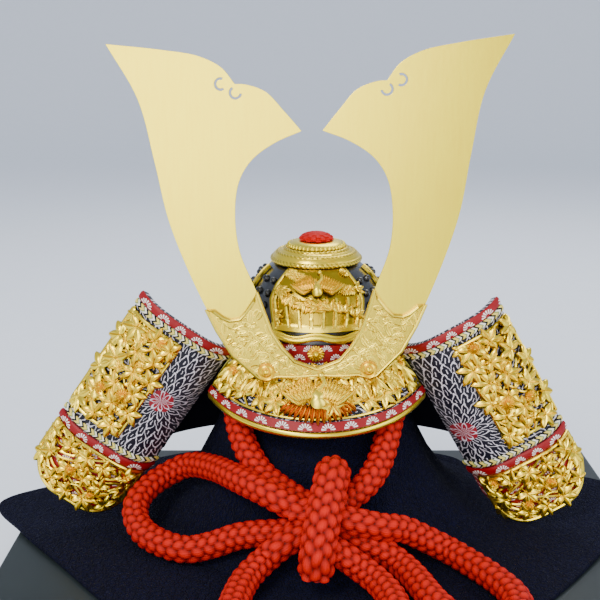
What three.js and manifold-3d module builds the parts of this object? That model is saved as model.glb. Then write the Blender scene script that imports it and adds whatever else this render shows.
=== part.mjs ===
// A display kabuto: a samurai helmet with its crest, turned-back side plates, neck guard and chin
// cord, worn by a stand core that is draped with a cloth and stands on a plain board.
// Millimetres. +Z is up, the helmet looks along -Y, and the origin is on the underside of the
// board, below the middle of the crest.
import * as THREE from 'three';
import { mergeVertices } from 'three/addons/utils/BufferGeometryUtils.js';
import Module from 'manifold-3d';

const wasm = await Module();
wasm.setup();

// Gaps between pieces
const clearance = 0.3;
const coneGap = 0.5;

// How far a face may move when small facets are merged
const facetTolerance = 0.1;

// Board
const boardWidth = 260;
const boardFront = 160;
const boardBack = 43;
const boardHeight = 30;
const boardShift = 5;
const boardChamfer = 1.5;

// Helmet bowl, an upright dome with a squarish profile
const bowlSet = -10;
const bowlRim = 101;
const bowlHalfWidth = 33;
const bowlHeight = 41;
const bowlStretch = 1.106;
const bowlFullness = 2.4;
const bowlWall = 2;
const bowlSegments = 20;
const rivetRadius = 1.8;
const rivetRows = 3;

// Crown ring, its dome and the red tuft on it
const crownRadius = 19.4;
const crownHeight = 3.4;
const crownBore = 8;
const crownDomeRadius = 12.3;
const crownDomeHeight = 2.6;
const tuftRadius = 7.6;
const tuftHeight = 3.2;

// Brow band, moulding and relief plate
const bandHeight = 9.8;
const bandDrop = 0.5;
const bandWall = 1.6;
const mouldingHeight = 3.2;
const mouldingWall = 1.8;
// Share of the bowl's height that the relief plate covers
const frontPlateShare = 0.478;
const frontPlateWall = 1.4;
const ridgeWidth = 3.4;
const ridgeWall = 1.1;

// Visor
const visorHalfWidth = 49.5;
const visorReach = 56;
const visorDrop = 23;
const visorSideLift = 12;
const visorHalfAngle = 62;
const visorWall = 1.5;
const visorRimRadius = 1.2;
const visorStripWidth = 3.2;
const visorFittingWall = 0.9;
const visorSteps = 14;

// Neck guard
const guardDrop = 53;
const guardHalfWidth = 80;
const guardHalfDepth = 46;
const guardWall = 1.5;
const lameCount = 4;
const lameOverlap = 0.22;
const lameHeadLift = 2.6;

// Turned-back side plates: an upper and a lower tier on each side. A plate's top corner lies out
// from the brow band and up from the bowl's rim.
const sidePlateWidth = 40.5;
const sidePlateOverlap = 2.5;
const upperTierLength = 61;
const lowerTierLength = 30;
const lowerInnerCut = 16;
const lowerOuterCut = 13;
const tierGap = 0.8;
const sidePlateWall = 2;
const sideFront = -44;
const sideInnerTurn = 13;
const sideOuterTurn = 9;
const redBandWidth = 3.4;
const braidWidth = 2.4;
const trimWall = 0.9;
const fittingWall = 0.8;
const reliefHeight = 1.1;
const sidePlates = [
  { name: 'left', side: -1, tilt: 35, out: 3.2, up: 6.6 },
  { name: 'right', side: 1, tilt: 29.5, out: 3.6, up: 7.3 },
];

// Crest: two horns in an engraved holder
const crestStandOff = 7.4;
const crestBase = 99;
const crestLeanBack = 4;
const crestLeanSide = 1.4;
const holderWall = 1.2;
const hornWall = 1;
const studRadius = 3.4;
const studShank = 1.2;
const studShankLength = 4.5;
const browStudShift = -0.6;
const browStudShank = 0.6;
const browStudRise = 7;

// Stand core and cloth
const coreSet = -12;
const coreStemRadius = 12;
const coreFootRadius = 26;
const coreFootHeight = 6;
const clothWall = 1.5;

// Chin cord
const cordDiameter = 11;
const cordStep = 16;
const wrapRadius = 7.4;
const endTuftLength = 10;

const radians = THREE.MathUtils.degToRad;
const lerp = THREE.MathUtils.lerp;
const boardTop = boardHeight;
const crownTop = bowlRim + bowlHeight;
const group = new THREE.Group();

// Solids

function welded(geometry) {
  const bare = geometry.clone();
  bare.deleteAttribute('normal');
  bare.deleteAttribute('uv');
  const merged = mergeVertices(bare, 1e-3);
  const corners = merged.index.array;
  const kept = [];
  for (let i = 0; i < corners.length; i += 3) {
    const [a, b, c] = [corners[i], corners[i + 1], corners[i + 2]];
    if (a !== b && b !== c && c !== a) kept.push(a, b, c);
  }
  merged.setIndex(kept);
  merged.computeVertexNormals();
  return merged;
}

function toSolid(geometry) {
  const merged = welded(geometry);
  return new wasm.Manifold(new wasm.Mesh({
    numProp: 3,
    vertProperties: new Float32Array(merged.attributes.position.array),
    triVerts: new Uint32Array(merged.index.array),
  }));
}

function toGeometry(solid) {
  const mesh = solid.simplify(facetTolerance).getMesh();
  const geometry = new THREE.BufferGeometry();
  geometry.setAttribute('position', new THREE.BufferAttribute(mesh.vertProperties, 3));
  geometry.setIndex(new THREE.BufferAttribute(mesh.triVerts, 1));
  return welded(geometry);
}

function join(first, ...others) {
  let solid = toSolid(first);
  for (const other of others) solid = solid.add(toSolid(other));
  return toGeometry(solid);
}

function cut(first, ...tools) {
  let solid = toSolid(first);
  for (const tool of tools) solid = solid.subtract(toSolid(tool));
  return toGeometry(solid);
}

// A thin closed solid over surface(a, b), for shares a and b from 0 to 1. Its two faces lie at the
// distances near and far along the surface's normal. A wrapped one closes on itself along a.
function sheet(surface, stepsA, stepsB, near, far, wrapped = false) {
  const points = [];
  for (let j = 0; j <= stepsB; j++) {
    for (let i = 0; i <= stepsA; i++) {
      const a = wrapped ? (i % stepsA) / stepsA : i / stepsA;
      const at = frameOn(surface, a, j / stepsB);
      for (const offset of [near, far]) points.push(at.point.clone().addScaledVector(at.normal, offset));
    }
  }
  const vertex = (i, j, face) => 2 * (j * (stepsA + 1) + i) + face;
  const corners = [];
  const quad = (a, b, c, d) => corners.push(a, b, c, a, c, d);
  for (let j = 0; j < stepsB; j++) {
    for (let i = 0; i < stepsA; i++) {
      quad(vertex(i, j, 1), vertex(i + 1, j, 1), vertex(i + 1, j + 1, 1), vertex(i, j + 1, 1));
      quad(vertex(i, j, 0), vertex(i, j + 1, 0), vertex(i + 1, j + 1, 0), vertex(i + 1, j, 0));
    }
  }
  for (let i = 0; i < stepsA; i++) {
    quad(vertex(i, 0, 0), vertex(i + 1, 0, 0), vertex(i + 1, 0, 1), vertex(i, 0, 1));
    quad(vertex(i + 1, stepsB, 0), vertex(i, stepsB, 0), vertex(i, stepsB, 1), vertex(i + 1, stepsB, 1));
  }
  for (let j = 0; j < stepsB && !wrapped; j++) {
    quad(vertex(0, j + 1, 0), vertex(0, j, 0), vertex(0, j, 1), vertex(0, j + 1, 1));
    quad(vertex(stepsA, j, 0), vertex(stepsA, j + 1, 0), vertex(stepsA, j + 1, 1), vertex(stepsA, j, 1));
  }
  const geometry = new THREE.BufferGeometry().setFromPoints(points);
  geometry.setIndex(corners);
  return welded(geometry);
}

// The point of a surface with its normal and its direction along a
function frameOn(surface, a, b) {
  const reach = 1e-3;
  const along = surface(a + reach, b).sub(surface(a - reach, b));
  const up = surface(a, Math.min(b + reach, 1)).sub(surface(a, Math.max(b - reach, 0)));
  const normal = along.clone().cross(up);
  if (normal.length() < 1e-9) normal.set(0, 0, 1);
  return { point: surface(a, b), normal: normal.normalize(), along: along.normalize() };
}

// A shape made flat on XY is set on a surface, turned about the normal and raised along it
function placeOn(geometry, surface, a, b, turn, raise) {
  const at = frameOn(surface, a, b);
  const across = at.normal.clone().cross(at.along);
  const place = new THREE.Matrix4().makeBasis(at.along, across, at.normal);
  place.setPosition(at.point.addScaledVector(at.normal, raise));
  return geometry.clone().rotateZ(turn).applyMatrix4(place);
}

function leaf(length, width, height) {
  const shape = new THREE.ConeGeometry(1, 1, 4).rotateX(Math.PI / 2).rotateZ(Math.PI / 2);
  return shape.scale(length / 2, width / 2, height);
}

// A gap with its point towards the middle of the spray
function slot(length, width, depth) {
  const shape = new THREE.CylinderGeometry(1, 1, 1, 3).rotateX(Math.PI / 2).rotateZ(Math.PI);
  return shape.scale(length / 2, width / 1.7, depth);
}

// Openwork of leaf sprays: raised leaves and a boss round each centre, with gaps cut between them
function openwork(surface, size, steps, near, far, sprays) {
  const gaps = [];
  const raised = [];
  for (const { across, up, reach, turn, leaves } of sprays) {
    for (let k = 0; k < leaves; k++) {
      const angle = radians(turn) + (k * 2 * Math.PI) / leaves;
      const between = angle + Math.PI / leaves;
      const shift = (distance, way) => [
        across + (distance * Math.cos(way)) / size.width,
        up + (distance * Math.sin(way)) / size.length,
      ];
      const [leafA, leafB] = shift(reach * 0.62, angle);
      const [gapA, gapB] = shift(reach * 0.64, between);
      raised.push(placeOn(leaf(reach * 0.76, reach * 0.32, reliefHeight + fittingWall), surface, leafA, leafB, angle,
        far + (reliefHeight - fittingWall) / 2));
      gaps.push(placeOn(slot(reach * 0.6, reach * 0.3, 6), surface, gapA, gapB, between, far));
    }
    const boss = new THREE.OctahedronGeometry(reach * 0.2, 0);
    raised.push(placeOn(boss, surface, across, up, 0, far + reliefHeight * 0.6));
  }
  const plate = cut(sheet(surface, steps.a, steps.b, near, far), ...gaps);
  return join(plate, ...raised);
}

function add(name, geometry, finish, parent = group) {
  const mesh = new THREE.Mesh(geometry, finish);
  mesh.name = name;
  parent.add(mesh);
  return mesh;
}

function finish(color, roughness, metalness) {
  return () => new THREE.MeshStandardMaterial({ color, roughness, metalness });
}

const satinGold = finish(0xd9cc84, 0.38, 1);
const castGold = finish(0xe0b94a, 0.3, 1);
const blackLacquer = finish(0x111114, 0.35, 0.1);
const printedLeather = finish(0x2a2a3c, 0.6, 0);
const redLeather = finish(0xa81c2c, 0.55, 0);
const braidedSilk = finish(0xc9c27a, 0.7, 0);
const redCord = finish(0xe0321a, 0.7, 0);
const navyLacing = finish(0x14142c, 0.75, 0);
const navyCrepe = finish(0x121432, 0.9, 0);
const boardLacquer = finish(0x3f4646, 0.45, 0);
const plainWood = finish(0xb58a5a, 0.6, 0);

// Board

function board() {
  const inset = boardChamfer;
  const outline = new THREE.Shape();
  const left = boardShift - boardWidth / 2 + inset;
  const right = boardShift + boardWidth / 2 - inset;
  outline.moveTo(left, -boardFront + inset);
  outline.lineTo(right, -boardFront + inset);
  outline.lineTo(right, boardBack - inset);
  outline.lineTo(left, boardBack - inset);
  const block = new THREE.ExtrudeGeometry(outline, {
    depth: boardHeight - 2 * inset,
    bevelThickness: inset,
    bevelSize: inset,
    bevelSegments: 1,
  });
  return block.translate(0, 0, inset);
}

add('display_board', board(), boardLacquer());

// Bowl, made round and then stretched from front to back

function bowlShare(z, height = bowlHeight) {
  const rise = THREE.MathUtils.clamp((z - bowlRim) / height, 0, 1);
  return (1 - rise ** bowlFullness) ** (1 / bowlFullness);
}

function bowlZ(radius) {
  const share = Math.min(radius / bowlHalfWidth, 1);
  return bowlRim + bowlHeight * (1 - share ** bowlFullness) ** (1 / bowlFullness);
}

function turned(profile, segments) {
  const points = profile.map(([radius, z]) => new THREE.Vector2(radius, z));
  const shape = new THREE.LatheGeometry(points, segments).rotateX(Math.PI / 2);
  return shape.scale(1, bowlStretch, 1).translate(0, bowlSet, 0);
}

// A point on the bowl. The angle runs from the front towards +X
function bowlPoint(angle, z) {
  const radius = bowlHalfWidth * bowlShare(z);
  return new THREE.Vector3(radius * Math.sin(angle), bowlSet - bowlStretch * radius * Math.cos(angle), z);
}

function bowlProfile() {
  const outer = [];
  const inner = [];
  const rings = 5;
  for (let i = 0; i <= rings; i++) {
    const lift = Math.sin((i / rings) * (Math.PI / 2));
    const share = (1 - lift ** bowlFullness) ** (1 / bowlFullness);
    outer.push([bowlHalfWidth * share, bowlRim + bowlHeight * lift]);
    inner.push([(bowlHalfWidth - bowlWall) * share, bowlRim + (bowlHeight - bowlWall) * lift]);
  }
  return [...inner.reverse(), ...outer];
}

// Rivet columns stand between the ridge strips and the front plate, as angles from the front
const ridgeAngles = [75, 128, 180, 232, 285];
const rivetAngles = [50, 62, 90, 109, 144, 163];

function bowl() {
  const rivets = [];
  for (const angle of rivetAngles) {
    for (const side of [-1, 1]) {
      for (let row = 0; row < rivetRows; row++) {
        const z = bowlRim + bandHeight + 4.4 + row * 8;
        rivets.push(placeOn(new THREE.OctahedronGeometry(rivetRadius, 0), bowlPoint, radians(angle) * side, z, 0, 0));
      }
    }
  }
  return join(turned(bowlProfile(), bowlSegments), ...rivets);
}

add('helmet_bowl', bowl(), blackLacquer());

// Crown ring, dome and tuft

const ringFoot = bowlZ(crownRadius - 0.8) + clearance;
const ringTop = crownTop + 2.2;
const domeFoot = ringTop + clearance;
const tuftFoot = domeFoot + crownDomeHeight + clearance;

function crownRing() {
  const underside = [crownRadius - 0.8, 15, 11.5, crownBore];
  const profile = underside.map((radius) => [radius, bowlZ(radius) + clearance + 0.25]);
  profile.unshift([crownRadius, ringFoot + 1]);
  profile.push([crownBore, ringTop], [crownDomeRadius + 0.6, ringTop], [crownDomeRadius + 2.6, ringTop - 1.4],
    [crownRadius - 2, ringFoot + crownHeight + 1.2], [crownRadius - 1.4, ringFoot + crownHeight - 0.2],
    [crownRadius, ringFoot + crownHeight - 0.8]);
  profile.push(profile[0]);
  return turned(profile.reverse(), 14);
}

function crownDome() {
  const [r, z, h] = [crownDomeRadius, domeFoot, crownDomeHeight];
  return turned([[0, z], [r, z], [r, z + h * 0.3], [r * 0.88, z + h * 0.62], [r * 0.66, z + h], [0, z + h]], 12);
}

function crownTuft() {
  const [r, z, h] = [tuftRadius, tuftFoot, tuftHeight];
  return turned([[0, z], [r, z], [r * 0.94, z + h * 0.4], [r * 0.66, z + h * 0.82], [0, z + h]], 12);
}

add('crown_ring', crownRing(), castGold());
add('crown_dome', crownDome(), satinGold());
add('crown_tuft', crownTuft(), redCord());

// Brow band round the rim, moulding over it and relief plate above

const bandInner = bowlHalfWidth + clearance;
const bandOuter = bandInner + bandWall;
const bandFoot = bowlRim - bandDrop;
const bandTop = bandFoot + bandHeight;

function browBand() {
  return turned([[bandInner, bandFoot], [bandOuter, bandFoot], [bandOuter - 0.2, bandTop], [bandInner, bandTop],
    [bandInner, bandFoot]], bowlSegments);
}

// Part of the bowl between two angles, with a lower and an upper edge that may change with the share
function bowlPatch(halfAngle, foot, top) {
  return (a, b) => {
    const z = lerp(foot(a), top(a), b);
    return bowlPoint(radians(halfAngle(b)) * (2 * a - 1), z);
  };
}

const mouldingFoot = bandTop + clearance + 0.3;
const mouldingWave = (a) => 0.7 * Math.cos(4 * Math.PI * (a - 0.5));
const moulding = bowlPatch(() => 33, (a) => mouldingFoot + 0.7 + mouldingWave(a),
  (a) => mouldingFoot + mouldingHeight + 0.7 + mouldingWave(a));

const plateFoot = mouldingFoot + mouldingHeight + 1.7;
const plateHalfAngles = [33, 37, 42, 42, 38];
const plateHalfAngle = (b) => {
  const at = Math.min(b, 0.999) * (plateHalfAngles.length - 1);
  const row = Math.floor(at);
  return lerp(plateHalfAngles[row], plateHalfAngles[row + 1], at - row);
};
const frontPlate = bowlPatch(plateHalfAngle, () => plateFoot,
  () => plateFoot + bowlHeight * frontPlateShare);

// Raised on the plate: bamboo stems with leaves below, and a crane with spread wings above
const stems = [-0.34, -0.18, 0, 0.17, 0.33];
const craneWings = [
  { a: 0.33, b: 0.76, turn: 160, length: 13 },
  { a: 0.67, b: 0.76, turn: 20, length: 13 },
];
const plateLeaves = [
  { a: 0.2, b: 0.42, turn: 30 }, { a: 0.31, b: 0.5, turn: 130 }, { a: 0.45, b: 0.5, turn: 60 },
  { a: 0.6, b: 0.47, turn: 120 }, { a: 0.74, b: 0.5, turn: 40 }, { a: 0.83, b: 0.4, turn: 150 },
];

function reliefPlate() {
  const raise = clearance + frontPlateWall;
  const raised = [];
  for (const stem of stems) {
    const pole = new THREE.CylinderGeometry(0.9, 0.9, 10, 4);
    raised.push(placeOn(pole, frontPlate, 0.5 + stem, 0.27, 0, raise));
  }
  for (const { a, b, turn, length } of craneWings) {
    raised.push(placeOn(leaf(length, 5, 2.4), frontPlate, a, b, radians(turn), raise + 0.5));
  }
  for (const { a, b, turn } of plateLeaves) {
    raised.push(placeOn(leaf(6, 2, 1.8), frontPlate, a, b, radians(turn), raise + 0.3));
  }
  const body = new THREE.IcosahedronGeometry(1, 0).scale(3.2, 4.4, 2);
  raised.push(placeOn(body, frontPlate, 0.5, 0.74, 0, raise));
  return join(sheet(frontPlate, 7, 3, clearance + 0.2, raise), ...raised);
}

add('brow_band', browBand(), redLeather());
add('brow_moulding', sheet(moulding, 12, 1, clearance, clearance + mouldingWall), satinGold());
add('front_relief_plate', reliefPlate(), castGold());

// Gold ridge strips that run down the bowl from the crown ring

function ridgeStrip(angle) {
  const foot = bandTop + clearance + 0.2;
  const top = ringFoot - 1.4;
  const surface = (a, b) => {
    const z = lerp(foot, top, Math.sin((b * Math.PI) / 2));
    const spread = ((a - 0.5) * ridgeWidth * lerp(1, 0.75, b)) / (bowlHalfWidth * bowlShare(z));
    return bowlPoint(radians(angle) + spread, z);
  };
  return sheet(surface, 1, 5, clearance + 0.1, clearance + ridgeWall);
}

ridgeAngles.forEach((angle, index) => add(`ridge_strip_${index + 1}`, ridgeStrip(angle), castGold()));

// Visor, steep at the front and wider than the bowl

const visorInner = bandOuter + coneGap;
const visorTop = bowlRim + 2;

function visorPoint(angle, out) {
  const [sine, cosine] = [Math.sin(angle), Math.cos(angle)];
  const width = lerp(visorInner, visorHalfWidth, out);
  const depth = lerp(visorInner * bowlStretch, visorReach, out);
  const edge = visorTop - visorDrop + visorSideLift * (1 - cosine);
  const swell = 1.4 * Math.sin(Math.PI * out);
  return new THREE.Vector3(width * sine, bowlSet - depth * cosine, lerp(visorTop, edge, out) + swell);
}

function visorSurface(outer, inner, halfAngle) {
  return (a, b) => visorPoint(radians(halfAngle) * (2 * a - 1), lerp(outer, inner, b));
}

const visorSlope = Math.hypot(visorDrop, visorReach - visorInner * bowlStretch);
const stripShare = visorStripWidth / visorSlope;
const fittingNear = visorWall + clearance;
const fittingFar = fittingNear + visorFittingWall;
const visorSprays = [
  { across: 0.09, up: 0.5, reach: 5.6, turn: 10, leaves: 4 },
  { across: 0.25, up: 0.52, reach: 6.6, turn: 50, leaves: 4 },
  { across: 0.75, up: 0.52, reach: 6.6, turn: 20, leaves: 4 },
  { across: 0.91, up: 0.5, reach: 5.6, turn: 40, leaves: 4 },
];

function visorRim() {
  const points = [];
  const edge = (angle, out) => {
    const at = frameOn((a, b) => visorPoint(a, b), radians(angle), out);
    return at.point.addScaledVector(at.normal, -visorWall / 2);
  };
  const outward = 1 + (visorRimRadius + clearance) / visorSlope;
  const steps = visorSteps;
  for (let i = 0; i <= steps; i++) points.push(edge(lerp(-visorHalfAngle, visorHalfAngle, i / steps), outward));
  const section = new THREE.Shape().absarc(0, 0, visorRimRadius, 0, 2 * Math.PI);
  const path = new THREE.CatmullRomCurve3(points);
  return new THREE.ExtrudeGeometry(section, { steps, curveSegments: 3, extrudePath: path });
}

// A crane with spread wings lies over the middle of the openwork
function visorCrane() {
  const surface = visorSurface(1, 0, visorHalfAngle);
  const raise = fittingFar + clearance;
  const wing = (a, turn) => placeOn(leaf(17, 7.4, 2.6), surface, a, 0.5, radians(turn), raise + 1.3);
  const tail = placeOn(leaf(15, 7.4, 2.4), surface, 0.5, 0.22, radians(0), raise + 1.2);
  const body = placeOn(new THREE.IcosahedronGeometry(1, 0).scale(3.4, 7, 1.9), surface, 0.5, 0.4, 0, raise + 1.7);
  return join(body, wing(0.425, 150), wing(0.575, 30), tail);
}

const visorSize = { width: 92, length: visorSlope };
add('visor_plate', sheet(visorSurface(1, 0, visorHalfAngle), visorSteps, 2, 0, visorWall), printedLeather());
const visorStrip = visorSurface(1, 1 - stripShare, visorHalfAngle);
add('visor_red_strip', sheet(visorStrip, visorSteps, 1, fittingNear, fittingFar), redLeather());
add('visor_openwork', openwork(visorSurface(0.975 - stripShare, 0.06, visorHalfAngle - 2), visorSize,
  { a: 12, b: 2 }, fittingNear, fittingFar, visorSprays), castGold());
add('visor_rim', visorRim(), satinGold());
add('visor_crane', visorCrane(), castGold());

// Neck guard of lames that flare from the bowl. Each lame's head lies outside the foot above it.

const guardTop = visorTop - 1;
const guardTopStart = -21;
const guardSetBack = 2.2;
const sideInnerY = sideFront + sideInnerTurn;

function guardPoint(share, down) {
  const width = lerp(visorInner, guardHalfWidth, down ** 0.85);
  const depth = lerp(visorInner * bowlStretch, guardHalfDepth, down);
  const startY = lerp(guardTopStart, sideInnerY + guardSetBack, Math.min(1.6 * down, 1));
  const start = Math.acos((bowlSet - startY) / depth);
  const angle = lerp(start, 2 * Math.PI - start, share);
  return new THREE.Vector3(width * Math.sin(angle), bowlSet - depth * Math.cos(angle), guardTop - guardDrop * down);
}

function lame(index) {
  const pitch = 1 / lameCount;
  const head = index * pitch;
  const foot = Math.min(head + pitch * (1 + lameOverlap), 1);
  const smooth = (a, b) => guardPoint(a, lerp(foot, head, b));
  const surface = (a, b) => {
    const at = frameOn(smooth, a, b);
    const lift = index ? lerp(0, lameHeadLift, b) : 0;
    return at.point.addScaledVector(at.normal, lift);
  };
  return sheet(surface, 16, 1, 0, guardWall);
}

for (let index = 0; index < lameCount; index++) {
  add(`neck_guard_lame_${index + 1}`, lame(index), navyLacing());
}

// Side plates. u runs outwards and upwards along the top edge, v runs down along the roll.

function sideSurface(plate, from, to, { inner = 0, outer = 1, innerCut = 0, outerCut = 0 } = {}) {
  const tilt = radians(plate.tilt);
  return (a, b) => {
    const share = plate.side < 0 ? lerp(outer, inner, a) : lerp(inner, outer, a);
    const u = share * sidePlateWidth - sidePlateOverlap;
    const bend = 2 * share - 1;
    const corner = (bend < 0 ? innerCut : outerCut) * bend ** 4;
    const v = lerp(to - corner, from, b);
    const turn = (bend < 0 ? sideInnerTurn : sideOuterTurn) * Math.abs(bend) ** 4;
    return new THREE.Vector3(
      plate.side * (bandOuter + plate.out + u * Math.cos(tilt) + v * Math.sin(tilt)),
      sideFront + turn,
      bowlRim + plate.up + u * Math.sin(tilt) - v * Math.cos(tilt),
    );
  };
}

const lowerStart = upperTierLength + tierGap;
const lowerEnd = lowerStart + lowerTierLength;
const trimNear = sidePlateWall + clearance;
const upperSprays = [
  { across: 0.3, up: 0.8, reach: 7, turn: 20, leaves: 4 },
  { across: 0.7, up: 0.52, reach: 7.4, turn: 60, leaves: 4 },
  { across: 0.32, up: 0.25, reach: 7, turn: 0, leaves: 4 },
];
const lowerSprays = [
  { across: 0.27, up: 0.5, reach: 7, turn: 15, leaves: 4 },
  { across: 0.72, up: 0.5, reach: 7, turn: 50, leaves: 4 },
];

function mirrored(sprays, side) {
  if (side > 0) return sprays;
  return sprays.map((spray) => ({ ...spray, across: 1 - spray.across, turn: 180 - spray.turn }));
}

for (const plate of sidePlates) {
  const tag = plate.name;
  const upper = [redBandWidth + braidWidth + 2, upperTierLength - braidWidth - 3];
  const lower = [lowerStart + redBandWidth + 0.8, lowerEnd - 0.6];
  const rounded = { innerCut: lowerInnerCut, outerCut: lowerOuterCut };
  const strip = (from, width) => sheet(sideSurface(plate, from, from + width), 10, 1, trimNear, trimNear + trimWall);
  add(`side_plate_upper_${tag}`, sheet(sideSurface(plate, 0, upperTierLength), 10, 1, 0, sidePlateWall),
    printedLeather());
  add(`side_plate_lower_${tag}`, sheet(sideSurface(plate, lowerStart, lowerEnd, rounded), 12, 1, 0, sidePlateWall),
    redLeather());
  add(`red_band_upper_${tag}`, strip(0, redBandWidth), redLeather());
  add(`red_band_lower_${tag}`, strip(lowerStart, redBandWidth), redLeather());
  add(`braid_upper_${tag}`, strip(redBandWidth + clearance, braidWidth), braidedSilk());
  add(`braid_lower_${tag}`, strip(upperTierLength - braidWidth, braidWidth), braidedSilk());
  add(`leaf_fitting_upper_${tag}`, openwork(sideSurface(plate, ...upper, { inner: 0.44, outer: 0.99 }),
    { width: sidePlateWidth * 0.55, length: upper[1] - upper[0] }, { a: 6, b: 1 },
    trimNear, trimNear + fittingWall, mirrored(upperSprays, plate.side)), castGold());
  add(`leaf_fitting_lower_${tag}`, openwork(sideSurface(plate, ...lower, { inner: 0.06, outer: 0.99, ...rounded }),
    { width: sidePlateWidth * 0.93, length: lower[1] - lower[0] }, { a: 9, b: 1 },
    trimNear, trimNear + fittingWall, mirrored(lowerSprays, plate.side)), castGold());
}

// Crest, drawn flat for the +X side: x from the middle line, y up from the crest's base

const crest = new THREE.Group();
crest.position.set(0, bowlSet - bandOuter * bowlStretch - crestStandOff, crestBase);
crest.rotation.order = 'YXZ';
crest.rotation.set(Math.PI / 2 - radians(crestLeanBack), -radians(crestLeanSide), 0);
group.add(crest);

const hornTip = [77.4, 132];
const hornTopEdge = [[56, 129.3], [42.5, 126.7], [34, 122.3], [29, 116]];
const hornLobe = [[25.3, 115.8], [17.5, 112.9], [10.5, 105.4], [4, 97.7]];
const hornInnerEdge = [[14.5, 93.4], [23.6, 87], [28.7, 78.8], [30.6, 66], [29.2, 51.5], [23, 35.3], [17.2, 18], [15, 8]];
const hornFoot = [[19, 5], [26, 6]];
const hornOuterEdge = [[36, 16], [45, 33.5], [56.2, 63.5], [60.9, 87], [66.3, 111.2], hornTip];
const swirls = [
  { x: 34.4, y: 116.1, radius: 2.1, from: 110, to: -120 },
  { x: 28.9, y: 112.7, radius: 2.1, from: 60, to: -170 },
];
const swirlWidth = 0.9;

const holderFoot = 1;
const holderLowerEdge = [[9, 0.6], [16, 0.8], [20.5, -0.6], [24, 0.6], [34, 10.3], [40, 20.6], [43.9, 29.3]];
const holderScallops = [[39.9, 29.2], [36.4, 26.4], [34, 25.4], [30.4, 25.8], [28, 28.4], [25, 32.6], [22.6, 36.2]];
const holderInnerEdge = [[20, 28.5], [17.3, 20.4], [13.2, 13.5], [8.5, 8.2], [0, 5]];
const studPlaces = { holder: [20.3, 4] };

const points2 = (rows, side) => rows.map(([x, y]) => new THREE.Vector2(x * side, y));

function slab(shape, depth, back) {
  return new THREE.ExtrudeGeometry(shape, { depth, bevelEnabled: false, curveSegments: 2 }).translate(0, 0, back);
}

function horn(side) {
  const outline = new THREE.Shape();
  outline.moveTo(hornTip[0] * side, hornTip[1]);
  for (const edge of [hornTopEdge, hornLobe, hornInnerEdge]) outline.splineThru(points2(edge, side));
  for (const [x, y] of hornFoot) outline.lineTo(x * side, y);
  outline.splineThru(points2(hornOuterEdge, side));
  for (const { x, y, radius, from, to } of swirls) {
    const [start, end] = side > 0 ? [radians(from), radians(to)] : [Math.PI - radians(from), Math.PI - radians(to)];
    const hole = new THREE.Path();
    hole.absarc(x * side, y, radius + swirlWidth / 2, start, end, side > 0);
    hole.absarc(x * side, y, radius - swirlWidth / 2, end, start, side < 0);
    outline.holes.push(hole);
  }
  const plate = slab(outline, hornWall, -hornWall - clearance);
  return cut(plate, shankHole(side));
}

function shankHole(side) {
  const [x, y] = studPlaces.holder;
  const hole = new THREE.CylinderGeometry(studShank + coneGap, studShank + coneGap, 12, 6);
  return hole.rotateX(Math.PI / 2).translate(x * side, y, 0);
}

function holder() {
  const outline = new THREE.Shape();
  outline.moveTo(0, holderFoot);
  const edges = [holderLowerEdge, holderScallops, holderInnerEdge];
  for (const edge of edges) for (const point of points2(edge, 1)) outline.lineTo(point.x, point.y);
  for (const edge of [...edges].reverse()) {
    for (const point of points2(edge, -1).reverse()) if (point.x < 0) outline.lineTo(point.x, point.y);
  }
  return cut(slab(outline, holderWall, 0), shankHole(1), shankHole(-1));
}

// A stud with a domed head, a ringed flange and a shank behind
function stud(shankLength) {
  const r = studRadius;
  const profile = [[0, -shankLength], [studShank, -shankLength], [studShank, 0], [r, 0], [r, 0.7], [r * 0.66, 1.1],
    [r * 0.45, 2.1], [0, 2.9]];
  const points = profile.map(([radius, y]) => new THREE.Vector2(radius, y));
  return new THREE.LatheGeometry(points, 8).rotateX(Math.PI / 2);
}

add('crest_holder', holder(), satinGold(), crest);
for (const plate of sidePlates) {
  const [x, y] = studPlaces.holder;
  add(`crest_horn_${plate.name}`, horn(plate.side), satinGold(), crest);
  const head = stud(studShankLength).translate(x * plate.side, y, holderWall + clearance);
  add(`crest_stud_${plate.name}`, head, castGold(), crest);
}

const browStud = stud(browStudShank);
browStud.rotateX(Math.PI / 2);
browStud.translate(browStudShift, bowlSet - bandOuter * bowlStretch - clearance - 0.7, bandFoot + browStudRise);
add('brow_stud', browStud, castGold());

// Stand core: a turned post with a foot and a domed head

const clothTop = crownTop - bowlWall - clearance;
const coreTop = clothTop - clothWall - clearance;

// Cloth, drawn tight over the core, flared to the board and laid out to four corners. A row gives
// the direction from the front, the radii at the helmet's edge and at the foot, and the slope.
const tentHeight = 82;
const tentBase = boardTop + clearance;
const tentRows = { front: [32, 88, 1.3], side: [36, 80, 2.5], back: [30, 50, 1.8] };
const headShare = 0.58;

function tentAt(angle) {
  const weight = Math.cos(angle) ** 2;
  const facing = Math.cos(angle) > 0 ? tentRows.front : tentRows.back;
  return tentRows.side.map((value, index) => lerp(value, facing[index], weight));
}

// The edge of the cloth in plan, from the front corner round by +X
const clothEdge = [
  [0, -172], [34, -156], [66, -128], [98, -92], [124, -56], [147, -18], [126, 3], [101, 4], [80, 5], [68, 27],
  [46, 36], [20, 39], [-10, 40], [-44, 38], [-66, 33], [-93, 15], [-118, -4], [-139, -26], [-123, -53],
  [-100, -82], [-76, -112], [-38, -150],
];

function edgeCurve() {
  const points = clothEdge.map(([x, y]) => new THREE.Vector3(x, y, 0));
  return new THREE.CatmullRomCurve3(points, true, 'centripetal');
}

const clothBoundary = edgeCurve();
const foldDepth = 2;
const folds = [{ count: 5, phase: 0.4, share: 0.6 }, { count: 9, phase: 2, share: 0.4 }];

function foldAt(angle) {
  return folds.reduce((sum, { count, phase, share }) => sum + share * Math.cos(count * angle + phase), 0) * foldDepth;
}

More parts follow.
